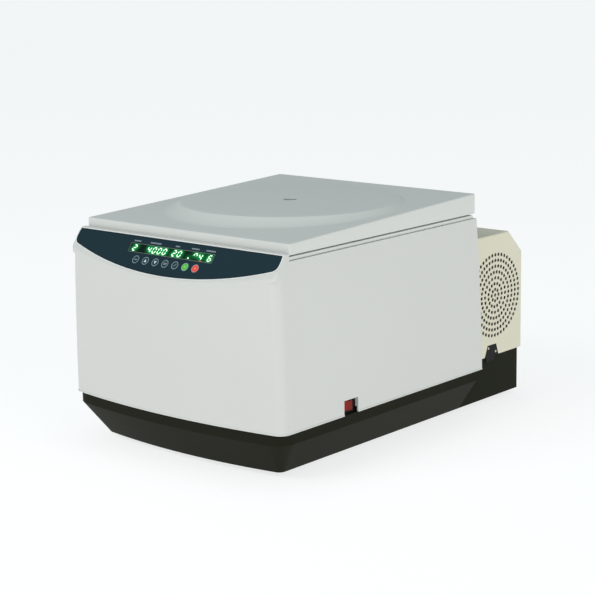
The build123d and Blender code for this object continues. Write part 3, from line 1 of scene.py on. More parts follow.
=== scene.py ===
import math
import bpy
import numpy as np
from mathutils import Matrix, Vector


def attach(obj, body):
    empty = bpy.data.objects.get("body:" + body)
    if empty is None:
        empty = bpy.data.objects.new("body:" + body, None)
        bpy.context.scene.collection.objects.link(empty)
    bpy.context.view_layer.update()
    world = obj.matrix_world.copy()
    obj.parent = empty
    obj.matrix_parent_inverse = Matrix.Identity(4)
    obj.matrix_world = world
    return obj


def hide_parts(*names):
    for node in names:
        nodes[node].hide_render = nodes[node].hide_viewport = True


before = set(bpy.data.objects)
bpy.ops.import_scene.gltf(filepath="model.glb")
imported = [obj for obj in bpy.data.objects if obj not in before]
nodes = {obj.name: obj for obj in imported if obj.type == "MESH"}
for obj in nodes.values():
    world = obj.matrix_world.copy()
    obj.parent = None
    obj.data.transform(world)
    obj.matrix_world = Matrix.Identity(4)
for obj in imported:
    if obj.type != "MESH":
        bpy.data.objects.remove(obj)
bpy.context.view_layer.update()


# Studio: a pale seamless floor under two large soft lamps and an even sky. The camera
# is at standing eye height in front of the bench, to the right of the instrument.
CAMERA_PLACE = (2.0672, -2.4218, 0.8993)
CAMERA_AZIMUTH = math.radians(40.91)
CAMERA_ELEVATION = math.radians(11.89)
CAMERA_ROLL = math.radians(-1.0)
FOCAL_LENGTH_IN_WIDTHS = 1749.2 / 595
SENSOR_WIDTH = 36.0
VIEW_DEPTH = 200.0
LAMP_SIZE = 2.4
HORIZON_LIGHT = (0.42, 0.43, 0.43)
ZENITH_LIGHT = (0.365, 0.45, 0.465)
FLOOR_HALF = 40.0
FLOOR_COLOUR = (0.30, 0.30, 0.30)
FLOOR_GLOW_COLOUR = (0.99, 1.0, 1.0)
FLOOR_GLOW = 0.76


def in_scene(name, data):
    """Puts a new object with this mesh, lamp or camera into the scene."""
    thing = bpy.data.objects.new(name, data)
    bpy.context.scene.collection.objects.link(thing)
    return thing


def soft_light(name, place, target, power, colour):
    """Large square lamp that faces the instrument."""
    lamp = bpy.data.lights.new(name, "AREA")
    lamp.size = LAMP_SIZE
    lamp.energy = power
    lamp.color = colour
    lamp_object = in_scene(name, lamp)
    direction = Vector(target) - Vector(place)
    lamp_object.location = place
    lamp_object.rotation_euler = direction.to_track_quat("-Z", "Y").to_euler()


def add_node(tree, kind, values=None):
    """Adds a node to a tree and sets the values of its inputs."""
    node = tree.nodes.new(kind)
    for socket_name, value in (values or {}).items():
        node.inputs[socket_name].default_value = value
    return node


def colour_mix(tree, low, high):
    """Adds a node that turns one colour into another as its factor rises."""
    mix = tree.nodes.new("ShaderNodeMix")
    mix.data_type = "RGBA"
    mix.inputs["A"].default_value = (*low, 1)
    mix.inputs["B"].default_value = (*high, 1)
    return mix


def wire(tree, *links):
    """Links sockets of a tree, each link given as node, output, node and input."""
    for source, output_name, target, input_name in links:
        tree.links.new(source.outputs[output_name], target.inputs[input_name])


def new_material(name, shader_inputs):
    """Node material with these values on its shader's own sockets."""
    material = bpy.data.materials.new(name)
    material.use_nodes = True
    shader = material.node_tree.nodes["Principled BSDF"]
    for socket_name, value in shader_inputs.items():
        shader.inputs[socket_name].default_value = value
    return material


back = Vector(
    (
        math.sin(CAMERA_AZIMUTH) * math.cos(CAMERA_ELEVATION),
        -math.cos(CAMERA_AZIMUTH) * math.cos(CAMERA_ELEVATION),
        math.sin(CAMERA_ELEVATION),
    )
)
level_right = Vector((math.cos(CAMERA_AZIMUTH), math.sin(CAMERA_AZIMUTH), 0))
level_up = back.cross(level_right)
right = math.cos(CAMERA_ROLL) * level_right + math.sin(CAMERA_ROLL) * level_up
up = -math.sin(CAMERA_ROLL) * level_right + math.cos(CAMERA_ROLL) * level_up
camera_data = bpy.data.cameras.new("camera")
camera_data.sensor_width = SENSOR_WIDTH
camera_data.lens = SENSOR_WIDTH * FOCAL_LENGTH_IN_WIDTHS
camera_data.clip_end = VIEW_DEPTH
camera = in_scene("camera", camera_data)
camera.matrix_world = Matrix.Translation(CAMERA_PLACE) @ Matrix((right, up, back)).transposed().to_4x4()
bpy.context.scene.camera = camera
bpy.context.scene.view_settings.view_transform = "Standard"

soft_light("lamp_front", (-0.9, -3.5, 2.6), target=(0, -0.3, 0.25), power=68, colour=(1.0, 1.0, 1.0))
soft_light("lamp_side", (3.9, -0.8, 1.3), target=(0, 0, 0.25), power=50, colour=(1.0, 1.0, 0.965))

world = bpy.data.worlds.new("studio")
bpy.context.scene.world = world
world.use_nodes = True
world_tree = world.node_tree
sky_direction = add_node(world_tree, "ShaderNodeTexCoord")
sky_parts = add_node(world_tree, "ShaderNodeSeparateXYZ")
sky_blend = colour_mix(world_tree, HORIZON_LIGHT, ZENITH_LIGHT)
wire(
    world_tree,
    (sky_direction, "Generated", sky_parts, "Vector"),
    (sky_parts, "Z", sky_blend, "Factor"),
    (sky_blend, "Result", world_tree.nodes["Background"], "Color"),
)

floor_mesh = bpy.data.meshes.new("floor")
floor_mesh.from_pydata(
    [(x * FLOOR_HALF, y * FLOOR_HALF, 0) for x, y in ((-1, -1), (1, -1), (1, 1), (-1, 1))],
    [],
    [(0, 1, 2, 3)],
)
floor = in_scene("floor", floor_mesh)
floor_paper = new_material(
    "floor_paper",
    {
        "Base Color": (*FLOOR_COLOUR, 1),
        "Roughness": 0.9,
        "Emission Color": (*FLOOR_GLOW_COLOUR, 1),
        "Emission Strength": FLOOR_GLOW,
    },
)
floor_mesh.materials.append(floor_paper)


# Base: one dark olive-grey plastic tub, moulded with a fine spark-eroded grain.
# It stands on four soft rubber feet.
BASE_COLOUR = (0.0165, 0.0172, 0.0115)
FEET_COLOUR = (0.018, 0.018, 0.018)
GRAIN_DETAIL = 3.0
GRAIN_STRENGTH = 0.6
DRIFT_SCALE = 7.0
DRIFT_DETAIL = 4.0
GRAIN_SHINIER = 0.05
GRAIN_DULLER = 0.07
JOIN_DISTANCE = 0.00001
SMOOTH_ANGLE = math.radians(30)
ROUNDED_ANGLE = math.radians(40)
ROUNDED_STEPS = 2


def moulded(name, colour, roughness, grain=2600.0, grain_height=0.00004, mottle=0.08, shader_inputs=None):
    """Moulded plastic or paint: fine grain in the bump and gloss, slow drift in colour."""
    material = new_material(name, shader_inputs or {})
    tree = material.node_tree
    shader = tree.nodes["Principled BSDF"]
    place = add_node(tree, "ShaderNodeTexCoord")
    fine = add_node(tree, "ShaderNodeTexNoise", {"Scale": grain, "Detail": GRAIN_DETAIL})
    slow = add_node(tree, "ShaderNodeTexNoise", {"Scale": DRIFT_SCALE, "Detail": DRIFT_DETAIL})
    darker = [channel * (1 - mottle) for channel in colour]
    lighter = [min(1.0, channel * (1 + mottle)) for channel in colour]
    drift = colour_mix(tree, darker, lighter)
    gloss_ends = {"To Min": roughness - GRAIN_SHINIER, "To Max": roughness + GRAIN_DULLER}
    gloss = add_node(tree, "ShaderNodeMapRange", gloss_ends)
    relief = add_node(tree, "ShaderNodeBump", {"Strength": GRAIN_STRENGTH, "Distance": grain_height})
    wire(
        tree,
        (place, "Object", fine, "Vector"),
        (place, "Object", slow, "Vector"),
        (slow, "Fac", drift, "Factor"),
        (drift, "Result", shader, "Base Color"),
        (fine, "Fac", gloss, "Value"),
        (gloss, "Result", shader, "Roughness"),
        (fine, "Fac", relief, "Height"),
        (relief, "Normal", shader, "Normal"),
    )
    return material


def dress(material, *names):
    """Gives CAD nodes their finish."""
    for name in names:
        nodes[name].data.materials.clear()
        nodes[name].data.materials.append(material)


def joined_faces():
    """Geometry tree that joins a node's loose triangles and smooths all but its real edges."""
    tree = bpy.data.node_groups.new("joined_faces", "GeometryNodeTree")
    tree.interface.new_socket("Geometry", in_out="INPUT", socket_type="NodeSocketGeometry")
    edge_angle = tree.interface.new_socket("Edge Angle", in_out="INPUT", socket_type="NodeSocketFloat")
    edge_angle.default_value = SMOOTH_ANGLE
    tree.interface.new_socket("Geometry", in_out="OUTPUT", socket_type="NodeSocketGeometry")
    start = add_node(tree, "NodeGroupInput")
    end = add_node(tree, "NodeGroupOutput")
    join = add_node(tree, "GeometryNodeMergeByDistance", {"Distance": JOIN_DISTANCE})
    angle = add_node(tree, "GeometryNodeInputMeshEdgeAngle")
    is_soft = add_node(tree, "FunctionNodeCompare")
    is_soft.operation = "LESS_EQUAL"
    soften_edges = add_node(tree, "GeometryNodeSetShadeSmooth")
    soften_edges.domain = "EDGE"
    soften_faces = add_node(tree, "GeometryNodeSetShadeSmooth")
    soften_faces.domain = "FACE"
    wire(
        tree,
        (start, "Geometry", join, "Geometry"),
        (angle, "Unsigned Angle", is_soft, "A"),
        (start, "Edge Angle", is_soft, "B"),
        (join, "Geometry", soften_faces, "Geometry"),
        (soften_faces, "Geometry", soften_edges, "Geometry"),
        (is_soft, "Result", soften_edges, "Shade Smooth"),
        (soften_edges, "Geometry", end, "Geometry"),
    )
    return tree


joined_tree = joined_faces()


def finish_edges(width, *names):
    """Joins a CAD node's triangles for smooth shading and rounds its edges by this width, if any."""
    for name in names:
        joiner = nodes[name].modifiers.new("joined_faces", "NODES")
        joiner.node_group = joined_tree
        if width > 0:
            rounding = nodes[name].modifiers.new("rounded_edges", "BEVEL")
            rounding.width = width
            rounding.segments = ROUNDED_STEPS
            rounding.limit_method = "ANGLE"
            rounding.angle_limit = ROUNDED_ANGLE
            rounding.harden_normals = True
            rounding.use_clamp_overlap = True


base_plastic = moulded(
    "base_plastic",
    BASE_COLOUR,
    roughness=0.42,
    grain=1900.0,
    grain_height=0.00006,
    mottle=0.12,
    shader_inputs={"Specular IOR Level": 0.02},
)
feet_rubber = moulded("feet_rubber", FEET_COLOUR, roughness=0.75, grain=3500.0, mottle=0.15)
dress(base_plastic, "base_tub")
dress(feet_rubber, "rubber_feet")
finish_edges(0.0008, "base_tub")
finish_edges(0.0, "rubber_feet")


# Chassis: a zinc-plated steel plate with turned-up flanges, laid in the tub.
# The plated surface has the faint brushed lines of rolled sheet.
ZINC_COLOUR = (0.47, 0.48, 0.47)
LINE_DETAIL = 2.0
LINE_DARKER = 0.9
LINE_LIGHTER = 1.08
LINE_SHINIER = 0.06
LINE_DULLER = 0.1
LINE_STRENGTH = 0.25
LINE_DEPTH = 0.00003


def drawn_metal(name, colour, roughness, line_scale=(40.0, 1600.0, 1600.0)):
    """Metal with fine lines from rolling, turning or brushing, along the axis of least scale."""
    material = new_material(name, {"Metallic": 1.0})
    tree = material.node_tree
    shader = tree.nodes["Principled BSDF"]
    place = add_node(tree, "ShaderNodeTexCoord")
    stretch = add_node(tree, "ShaderNodeMapping", {"Scale": line_scale})
    lines = add_node(tree, "ShaderNodeTexNoise", {"Scale": 1.0, "Detail": LINE_DETAIL})
    darker = [channel * LINE_DARKER for channel in colour]
    lighter = [min(1.0, channel * LINE_LIGHTER) for channel in colour]
    tint = colour_mix(tree, darker, lighter)
    gloss_ends = {"To Min": roughness - LINE_SHINIER, "To Max": roughness + LINE_DULLER}
    gloss = add_node(tree, "ShaderNodeMapRange", gloss_ends)
    relief = add_node(tree, "ShaderNodeBump", {"Strength": LINE_STRENGTH, "Distance": LINE_DEPTH})
    wire(
        tree,
        (place, "Object", stretch, "Vector"),
        (stretch, "Vector", lines, "Vector"),
        (lines, "Fac", tint, "Factor"),
        (tint, "Result", shader, "Base Color"),
        (lines, "Fac", gloss, "Value"),
        (gloss, "Result", shader, "Roughness"),
        (lines, "Fac", relief, "Height"),
        (relief, "Normal", shader, "Normal"),
    )
    return material


zinc_steel = drawn_metal("zinc_steel", ZINC_COLOUR, roughness=0.38)
dress(zinc_steel, "chassis_plate")
finish_edges(0.0, "chassis_plate")


# Mains inlet: a flanged black plastic socket with three pins, moulded in one piece
# and pressed into the rear wall of the base.
SOCKET_COLOUR = (0.016, 0.016, 0.017)

socket_plastic = moulded("socket_plastic", SOCKET_COLOUR, roughness=0.4, grain=3000.0)
dress(socket_plastic, "mains_inlet")
finish_edges(0.0003, "mains_inlet")


# Casing: a large satin white moulding with leaning sides and a front that bulges forward.
# Its edges are rounded, and the lower edge shows as a thin bright lip above the base.
CASING_COLOUR = (0.635, 0.638, 0.616)
SATIN = {"grain": 2200.0, "grain_height": 0.00003, "mottle": 0.012}

casing_plastic = moulded("casing_plastic", CASING_COLOUR, roughness=0.46, **SATIN)
dress(casing_plastic, "casing")
finish_edges(0.0012, "casing")


# Operating panel: a dark slate-blue printed film on the slanted fascia, inside a raised white bead.
# The film has a satin hard coat.
FASCIA_ORIGIN = Vector((0, -0.34594, 0.382))
FASCIA_SLOPE = math.radians(52.44)
FILM_COLOUR = (0.0058, 0.0240, 0.0345)
BEAD_COLOUR = (0.76, 0.77, 0.75)
FILM_TOP = 0.001
PRINT_LIFT = 0.00004

fascia_turn = Matrix(
    (
        (1, 0, 0),
        (0, math.cos(FASCIA_SLOPE), -math.sin(FASCIA_SLOPE)),
        (0, math.sin(FASCIA_SLOPE), math.cos(FASCIA_SLOPE)),
    )
).to_4x4()
on_fascia = Matrix.Translation(FASCIA_ORIGIN) @ fascia_turn

panel_film = moulded(
    "panel_film",
    FILM_COLOUR,
    roughness=0.36,
    grain=4200.0,
    grain_height=0.00001,
    mottle=0.06,
    shader_inputs={"Specular IOR Level": 0.15},
)
bead_plastic = moulded("bead_plastic", BEAD_COLOUR, roughness=0.4, **SATIN)
dress(panel_film, "panel_film")
dress(bead_plastic, "panel_bezel")
finish_edges(0.0, "panel_film")
finish_edges(0.0007, "panel_bezel")


# Display window: smoked green filter in a thin printed frame line.
# The lit seven-segment digits shine through it, with a soft halo round each group.
WINDOW_LOW = (-0.1014, -0.0278)
WINDOW_HIGH = (0.0956, -0.0118)
FRAME_LINE = 0.0006
DIGIT_HEIGHT = 0.0106
DIGIT_WIDTH = 0.0066
SEGMENT_WIDTH = 0.00185
SEGMENT_GAP = SEGMENT_WIDTH * 0.42
SEGMENT_POINT = 0.2
DIGIT_SLANT = 0.18
DIGIT_PITCH = 0.0122
DIGIT_MIDDLE_V = -0.0200
READINGS = [(-0.0893, "2"), (-0.0358, "4000"), (0.0118, "20"), (0.0606, "n4"), (0.0883, "6")]
LIT_SEGMENTS = {
    "0": "abcdef",
    "2": "abged",
    "4": "fgbc",
    "6": "afgedc",
    "n": "fab",
}
LIT_DOT = (0.0410, -0.0250, 0.0014)
DOT_STEPS = 12
PILOT_BAR = (0.0700, -0.0272, 0.0032, 0.0005)
PILOT_SHOULDER = 0.8
HALO_HEIGHT = FILM_TOP + 2 * PRINT_LIFT
DIGITS_HEIGHT = FILM_TOP + 3 * PRINT_LIFT
PILOT_HEIGHT = FILM_TOP + 4 * PRINT_LIFT
HALO_STEPS_U = 200
HALO_STEPS_V = 18
HALO_REACH = 0.0056
HALO_FULL = 2.4
DIGIT_COLOUR = (0.72, 1.0, 0.74)
PILOT_COLOUR = (0.75, 0.10, 0.03)
HALO_COLOUR = (0.003, 0.32, 0.07)
HALO_FAR_COLOUR = (0, 0.004, 0.002)
WINDOW_COLOUR = (0.0015, 0.007, 0.004)
HOUSING_BLACK = (0.02, 0.02, 0.02)
LIT_BODY = 0.2
LIT_DIMMER = 0.85
LIT_GRAIN = 900.0


def plain_mesh(name, points, faces, place):
    """Mesh object from points given in a local frame, placed in its mesh."""
    mesh = bpy.data.meshes.new(name)
    mesh.from_pydata([place @ Vector(point) for point in points], [], faces)
    mesh.update()
    return in_scene(name, mesh)


def segment_bars(letter):
    """Centre lines of the lit segments of one digit, about its middle."""
    half_w = DIGIT_WIDTH / 2
    half_h = DIGIT_HEIGHT / 2
    inner_w = half_w - SEGMENT_GAP
    inner_h = half_h - SEGMENT_GAP
    bars = {
        "a": ((-inner_w, half_h), (inner_w, half_h)),
        "b": ((half_w, inner_h), (half_w, SEGMENT_GAP)),
        "c": ((half_w, -SEGMENT_GAP), (half_w, -inner_h)),
        "d": ((-inner_w, -half_h), (inner_w, -half_h)),
        "e": ((-half_w, -SEGMENT_GAP), (-half_w, -inner_h)),
        "f": ((-half_w, inner_h), (-half_w, SEGMENT_GAP)),
        "g": ((-inner_w, 0), (inner_w, 0)),
    }
    return [bars[segment] for segment in LIT_SEGMENTS[letter]]


lit_points = []
lit_faces = []
lit_places = []
for reading_u, reading in READINGS:
    for place_in_reading, letter in enumerate(reading):
        digit_u = reading_u + (place_in_reading - (len(reading) - 1) / 2) * DIGIT_PITCH
        for bar_start, bar_end in segment_bars(letter):
            start = Vector(bar_start)
            end = Vector(bar_end)
            along = (end - start).normalized()
            across = Vector((-along.y, along.x)) * SEGMENT_WIDTH / 2
            tip = along * SEGMENT_WIDTH / 2
            corners = [
                start - tip * SEGMENT_POINT,
                start + tip + across,
                end - tip + across,
                end + tip * SEGMENT_POINT,
                end - tip - across,
                start + tip - across,
            ]
            first = len(lit_points)
            for corner in corners:
                slanted_u = digit_u + corner.x + corner.y * DIGIT_SLANT
                lit_points.append((slanted_u, DIGIT_MIDDLE_V + corner.y, DIGITS_HEIGHT))
            lit_faces.append(tuple(reversed(range(first, len(lit_points)))))
            middle = (start + end) / 2
            lit_places.append((digit_u + middle.x + middle.y * DIGIT_SLANT, DIGIT_MIDDLE_V + middle.y))
dot_u, dot_v, dot_radius = LIT_DOT
first = len(lit_points)
for step in range(DOT_STEPS):
    turn = 2 * math.pi * step / DOT_STEPS
    dot_point = (dot_u + dot_radius * math.cos(turn), dot_v + dot_radius * math.sin(turn))
    lit_points.append((*dot_point, DIGITS_HEIGHT))
lit_faces.append(tuple(range(first, len(lit_points))))
lit_places.append((dot_u, dot_v))
lit_digits = plain_mesh("lit_digits", lit_points, lit_faces, on_fascia)

bar_u, bar_v, bar_half_u, bar_half_v = PILOT_BAR
shoulder_u = bar_half_u * PILOT_SHOULDER
pilot_bar = plain_mesh(
    "pilot_bar",
    [
        (bar_u - bar_half_u, bar_v, PILOT_HEIGHT),
        (bar_u - shoulder_u, bar_v - bar_half_v, PILOT_HEIGHT),
        (bar_u + shoulder_u, bar_v - bar_half_v, PILOT_HEIGHT),
        (bar_u + bar_half_u, bar_v, PILOT_HEIGHT),
        (bar_u + shoulder_u, bar_v + bar_half_v, PILOT_HEIGHT),
        (bar_u - shoulder_u, bar_v + bar_half_v, PILOT_HEIGHT),
    ],
    [(0, 1, 2, 3, 4, 5)],
    on_fascia,
)

halo_points = []
halo_values = []
segment_centres = np.array(lit_places)
for row in range(HALO_STEPS_V + 1):
    for column in range(HALO_STEPS_U + 1):
        halo_u = WINDOW_LOW[0] + (WINDOW_HIGH[0] - WINDOW_LOW[0]) * column / HALO_STEPS_U
        halo_v = WINDOW_LOW[1] + (WINDOW_HIGH[1] - WINDOW_LOW[1]) * row / HALO_STEPS_V
        distance = np.hypot(segment_centres[:, 0] - halo_u, segment_centres[:, 1] - halo_v)
        halo_values.append(float(np.exp(-((distance / HALO_REACH) ** 2)).sum()))
        halo_points.append((halo_u, halo_v, HALO_HEIGHT))
halo_faces = []
for row in range(HALO_STEPS_V):
    for column in range(HALO_STEPS_U):
        corner = row * (HALO_STEPS_U + 1) + column
        above = corner + HALO_STEPS_U + 1
        halo_faces.append((corner, corner + 1, above + 1, above))
window_halo = plain_mesh("window_halo", halo_points, halo_faces, on_fascia)
glow = window_halo.data.attributes.new("glow", "FLOAT", "POINT")
glow.data.foreach_set("value", [min(1.0, value / HALO_FULL) for value in halo_values])


def lit(name, colour, strength):
    """Light that leaves a lit display segment, with a faint unevenness across it."""
    material = new_material(
        name,
        {
            "Base Color": (*[channel * LIT_BODY for channel in colour], 1),
            "Roughness": 0.3,
            "Emission Strength": strength,
        },
    )
    tree = material.node_tree
    place = add_node(tree, "ShaderNodeTexCoord")
    unevenness = add_node(tree, "ShaderNodeTexNoise", {"Scale": LIT_GRAIN})
    blend = colour_mix(tree, [channel * LIT_DIMMER for channel in colour], colour)
    wire(
        tree,
        (place, "Object", unevenness, "Vector"),
        (unevenness, "Fac", blend, "Factor"),
        (blend, "Result", tree.nodes["Principled BSDF"], "Emission Color"),
    )
    return material


def smoked_window():
    """Dark filter whose emission follows the halo worked out on the mesh."""
    material = new_material(
        "smoked_window",
        {
            "Base Color": (*WINDOW_COLOUR, 1),
            "Roughness": 0.22,
            "Specular IOR Level": 0.08,
            "Emission Strength": 1.0,
        },
    )
    tree = material.node_tree
    halo = add_node(tree, "ShaderNodeAttribute")
    halo.attribute_name = "glow"
    blend = colour_mix(tree, HALO_FAR_COLOUR, HALO_COLOUR)
    wire(
        tree,
        (halo, "Fac", blend, "Factor"),
        (blend, "Result", tree.nodes["Principled BSDF"], "Emission Color"),
    )
    return material


lit_digits.data.materials.append(lit("digit_light", DIGIT_COLOUR, strength=1.9))
pilot_bar.data.materials.append(lit("pilot_light", PILOT_COLOUR, strength=0.9))
window_halo.data.materials.append(smoked_window())
dress(moulded("window_filter", WINDOW_COLOUR, roughness=0.2, mottle=0.1), "display_window")
dress(moulded("digit_housing", HOUSING_BLACK, roughness=0.5), "digit_modules")
finish_edges(0.0, "display_window", "digit_modules")
for piece in (lit_digits, pilot_bar, window_halo):
    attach(piece, "centrifuge")


# Print on the film: a thin pale line round the window, a row of plain bars above it
# in place of captions, and a fine darker line just inside the film's edge.
PRINT_COLOUR = (0.34, 0.40, 0.43)
CAPTION_COLOUR = (0.185, 0.235, 0.265)
WINDOW_LINE_COLOUR = (0.20, 0.21, 0.19)
EDGE_LINE_COLOUR = (0.005, 0.018, 0.025)
PRINT_HEIGHT = FILM_TOP + PRINT_LIFT
CAPTIONS = [(-0.0893, 0.0165), (-0.0452, 0.0262), (0.0070, 0.0100), (0.0488, 0.0180), (0.0842, 0.0212)]
CAPTION_V = -0.0066
CAPTION_HEIGHT = 0.0025
OUTLINE_HALF = 0.2378
OUTLINE_TOP_V = 0.003
OUTLINE_BOTTOM_V = -0.065
OUTLINE_ARC = 0.715
OUTLINE_CORNER = 0.014
OUTLINE_BOW = 0.0012
OUTLINE_SIDE_STEPS = 12
OUTLINE_CORNER_STEPS = 10
OUTLINE_ARC_STEPS = 30
EDGE_LINE_INSET = 0.0010
EDGE_LINE_WIDTH = 0.0012


def printed_bars(name, bars):
    """Flat printed bars, each given by its lowest and highest place on the fascia."""
    points = []
    faces = []
    for u_low, u_high, v_low, v_high in bars:
        first = len(points)
        for bar_corner in ((u_low, v_low), (u_high, v_low), (u_high, v_high), (u_low, v_high)):
            points.append((*bar_corner, PRINT_HEIGHT))
        faces.append((first, first + 1, first + 2, first + 3))
    return plain_mesh(name, points, faces, on_fascia)


caption_bars = []
for caption_u, caption_length in CAPTIONS:
    caption_bars.append(
        (
            caption_u - caption_length / 2,
            caption_u + caption_length / 2,
            CAPTION_V - CAPTION_HEIGHT / 2,
            CAPTION_V + CAPTION_HEIGHT / 2,
        )
    )
captions = printed_bars("captions", caption_bars)
(low_u, low_v), (high_u, high_v) = WINDOW_LOW, WINDOW_HIGH
window_line = printed_bars(
    "window_line",
    [
        (low_u - FRAME_LINE, high_u + FRAME_LINE, low_v - FRAME_LINE, low_v),
        (low_u - FRAME_LINE, high_u + FRAME_LINE, high_v, high_v + FRAME_LINE),
        (low_u - FRAME_LINE, low_u, low_v, high_v),
        (high_u, high_u + FRAME_LINE, low_v, high_v),
    ],
)


def film_outline(inset):
    """Closed outline of the film at a distance inside its edge, clockwise from the top right."""
    half = OUTLINE_HALF - inset
    top = OUTLINE_TOP_V - inset
    radius = OUTLINE_ARC - inset
    centre_v = OUTLINE_BOTTOM_V + OUTLINE_ARC
    corner = OUTLINE_CORNER - inset
    corner_u = half - corner
    corner_v = centre_v - math.sqrt((radius - corner) ** 2 - corner_u**2)
    foot_turn = math.atan2(corner_v - centre_v, corner_u)
    side = []
    for step in range(OUTLINE_SIDE_STEPS + 1):
        share = step / OUTLINE_SIDE_STEPS
        side.append((half + OUTLINE_BOW * 4 * share * (1 - share), top + (corner_v - top) * share))
    for step in range(1, OUTLINE_CORNER_STEPS + 1):
        turn = foot_turn * step / OUTLINE_CORNER_STEPS
        side.append((corner_u + corner * math.cos(turn), corner_v + corner * math.sin(turn)))
    for step in range(1, OUTLINE_ARC_STEPS + 1):
        turn = foot_turn + (-math.pi / 2 - foot_turn) * step / OUTLINE_ARC_STEPS
        side.append((radius * math.cos(turn), centre_v + radius * math.sin(turn)))
    return side + [(-outline_u, outline_v) for outline_u, outline_v in reversed(side[:-1])]


outer_outline = film_outline(EDGE_LINE_INSET)
inner_outline = film_outline(EDGE_LINE_INSET + EDGE_LINE_WIDTH)
edge_points = [(*point, PRINT_HEIGHT) for point in outer_outline + inner_outline]
edge_count = len(outer_outline)
edge_faces = []
for step in range(edge_count):
    following = (step + 1) % edge_count
    edge_faces.append((step, following, edge_count + following, edge_count + step))
edge_line = plain_mesh("edge_line", edge_points, edge_faces, on_fascia)
pale_ink = moulded("pale_ink", PRINT_COLOUR, roughness=0.5, grain=5000.0, mottle=0.2)
caption_ink = moulded("caption_ink", CAPTION_COLOUR, roughness=0.5, grain=5000.0, mottle=0.2)
grey_ink = moulded("grey_ink", WINDOW_LINE_COLOUR, roughness=0.5, grain=5000.0, mottle=0.2)
edge_ink = moulded(
    "edge_ink",
    EDGE_LINE_COLOUR,
    roughness=0.4,
    grain=5000.0,
    mottle=0.1,
    shader_inputs={"Specular IOR Level": 0.15},
)
captions.data.materials.append(caption_ink)
window_line.data.materials.append(grey_ink)
edge_line.data.materials.append(edge_ink)
for piece, slot_name in (
    (captions, "casing_white"),
    (window_line, "casing_white"),
    (edge_line, "panel_blue"),
):
    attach(piece, "centrifuge")


# Keys: seven round caps that stand a little proud of the film, each with a printed ring.
# The second and third carry an up and a down arrow, the last two are green and red.
KEY_NAMES = ["menu_key", "up_key", "down_key", "select_key", "confirm_key", "start_key", "stop_key"]
KEY_BODIES = [name.replace("_key", "_button") for name in KEY_NAMES]
KEY_FIRST_U = -0.0744
KEY_PITCH = 0.0235
KEY_V = -0.0417
KEY_TOP = 0.0014
RING_SIZES = {"Radius": 0.0073, "Width": 0.0009, "Sides": 48}
RIM_SIZES = {"Radius": 0.0080, "Width": 0.0007, "Sides": 48}
KEY_COLOUR = (0.014, 0.040, 0.052)
RING_COLOUR = (0.30, 0.39, 0.46)
ARROW_COLOUR = (0.62, 0.74, 0.86)
KEY_COLOURS = {"start_key": (0.085, 0.50, 0.045), "stop_key": (0.86, 0.045, 0.022)}
MARK_COLOURS = {"start_key": (0.22, 0.66, 0.16), "stop_key": (0.95, 0.22, 0.16)}
KEY_MARKS = {
    "menu_key": [[(-0.0036, -0.0006), (0.0036, -0.0006), (0.0036, 0.0006), (-0.0036, 0.0006)]],
    "up_key": [[(-0.0030, -0.0024), (0.0030, -0.0024), (0, 0.0034)]],
    "down_key": [[(-0.0030, 0.0024), (0, -0.0034), (0.0030, 0.0024)]],
    "select_key": [
        [(-0.0036, 0.0006), (0.0036, 0.0006), (0.0036, 0.0016), (-0.0036, 0.0016)],
        [(-0.0036, -0.0016), (0.0036, -0.0016), (0.0036, -0.0006), (-0.0036, -0.0006)],
    ],
    "confirm_key": [[(-0.0034, -0.0026), (-0.0022, -0.0026), (0.0034, 0.0026), (0.0022, 0.0026)]],
    "start_key": [[(-0.0018, -0.0024), (0.0026, 0), (-0.0018, 0.0024)]],
    "stop_key": [[(-0.0019, -0.0019), (0.0019, -0.0019), (0.0019, 0.0019), (-0.0019, 0.0019)]],
}


def sized_tree(name, sizes):
    """Geometry tree with named number inputs, a material input and one output."""
    tree = bpy.data.node_groups.new(name, "GeometryNodeTree")
    for size_name, size in sizes.items():
        kind = "NodeSocketInt" if isinstance(size, int) else "NodeSocketFloat"
        socket = tree.interface.new_socket(size_name, in_out="INPUT", socket_type=kind)
        socket.default_value = size
    tree.interface.new_socket("Material", in_out="INPUT", socket_type="NodeSocketMaterial")
    tree.interface.new_socket("Geometry", in_out="OUTPUT", socket_type="NodeSocketGeometry")
    return tree, add_node(tree, "NodeGroupInput"), add_node(tree, "NodeGroupOutput")


def close_tree(tree, start, end, last, output_name):
    """Ends a geometry tree with real geometry in the material given to it."""
    realize = add_node(tree, "GeometryNodeRealizeInstances")
    finish = add_node(tree, "GeometryNodeSetMaterial")
    wire(
        tree,
        (last, output_name, realize, "Geometry"),
        (realize, "Geometry", finish, "Geometry"),
        (start, "Material", finish, "Material"),
        (finish, "Geometry", end, "Geometry"),
    )


def grown(name, tree, place, material, sizes):
    """Runs a geometry tree with its inputs set, and keeps the result as a plain piece."""
    source = in_scene(name + "_source", bpy.data.meshes.new(name + "_source"))
    shape = source.modifiers.new("shape", "NODES")
    shape.node_group = tree
    values = {**sizes, "Material": material}
    for socket in tree.interface.items_tree:
        if socket.in_out == "INPUT":
            shape[socket.identifier] = values[socket.name]
    bpy.context.view_layer.update()
    mesh = bpy.data.meshes.new_from_object(source.evaluated_get(bpy.context.evaluated_depsgraph_get()))
    mesh.transform(place)
    bpy.data.objects.remove(source)
    return in_scene(name, mesh)


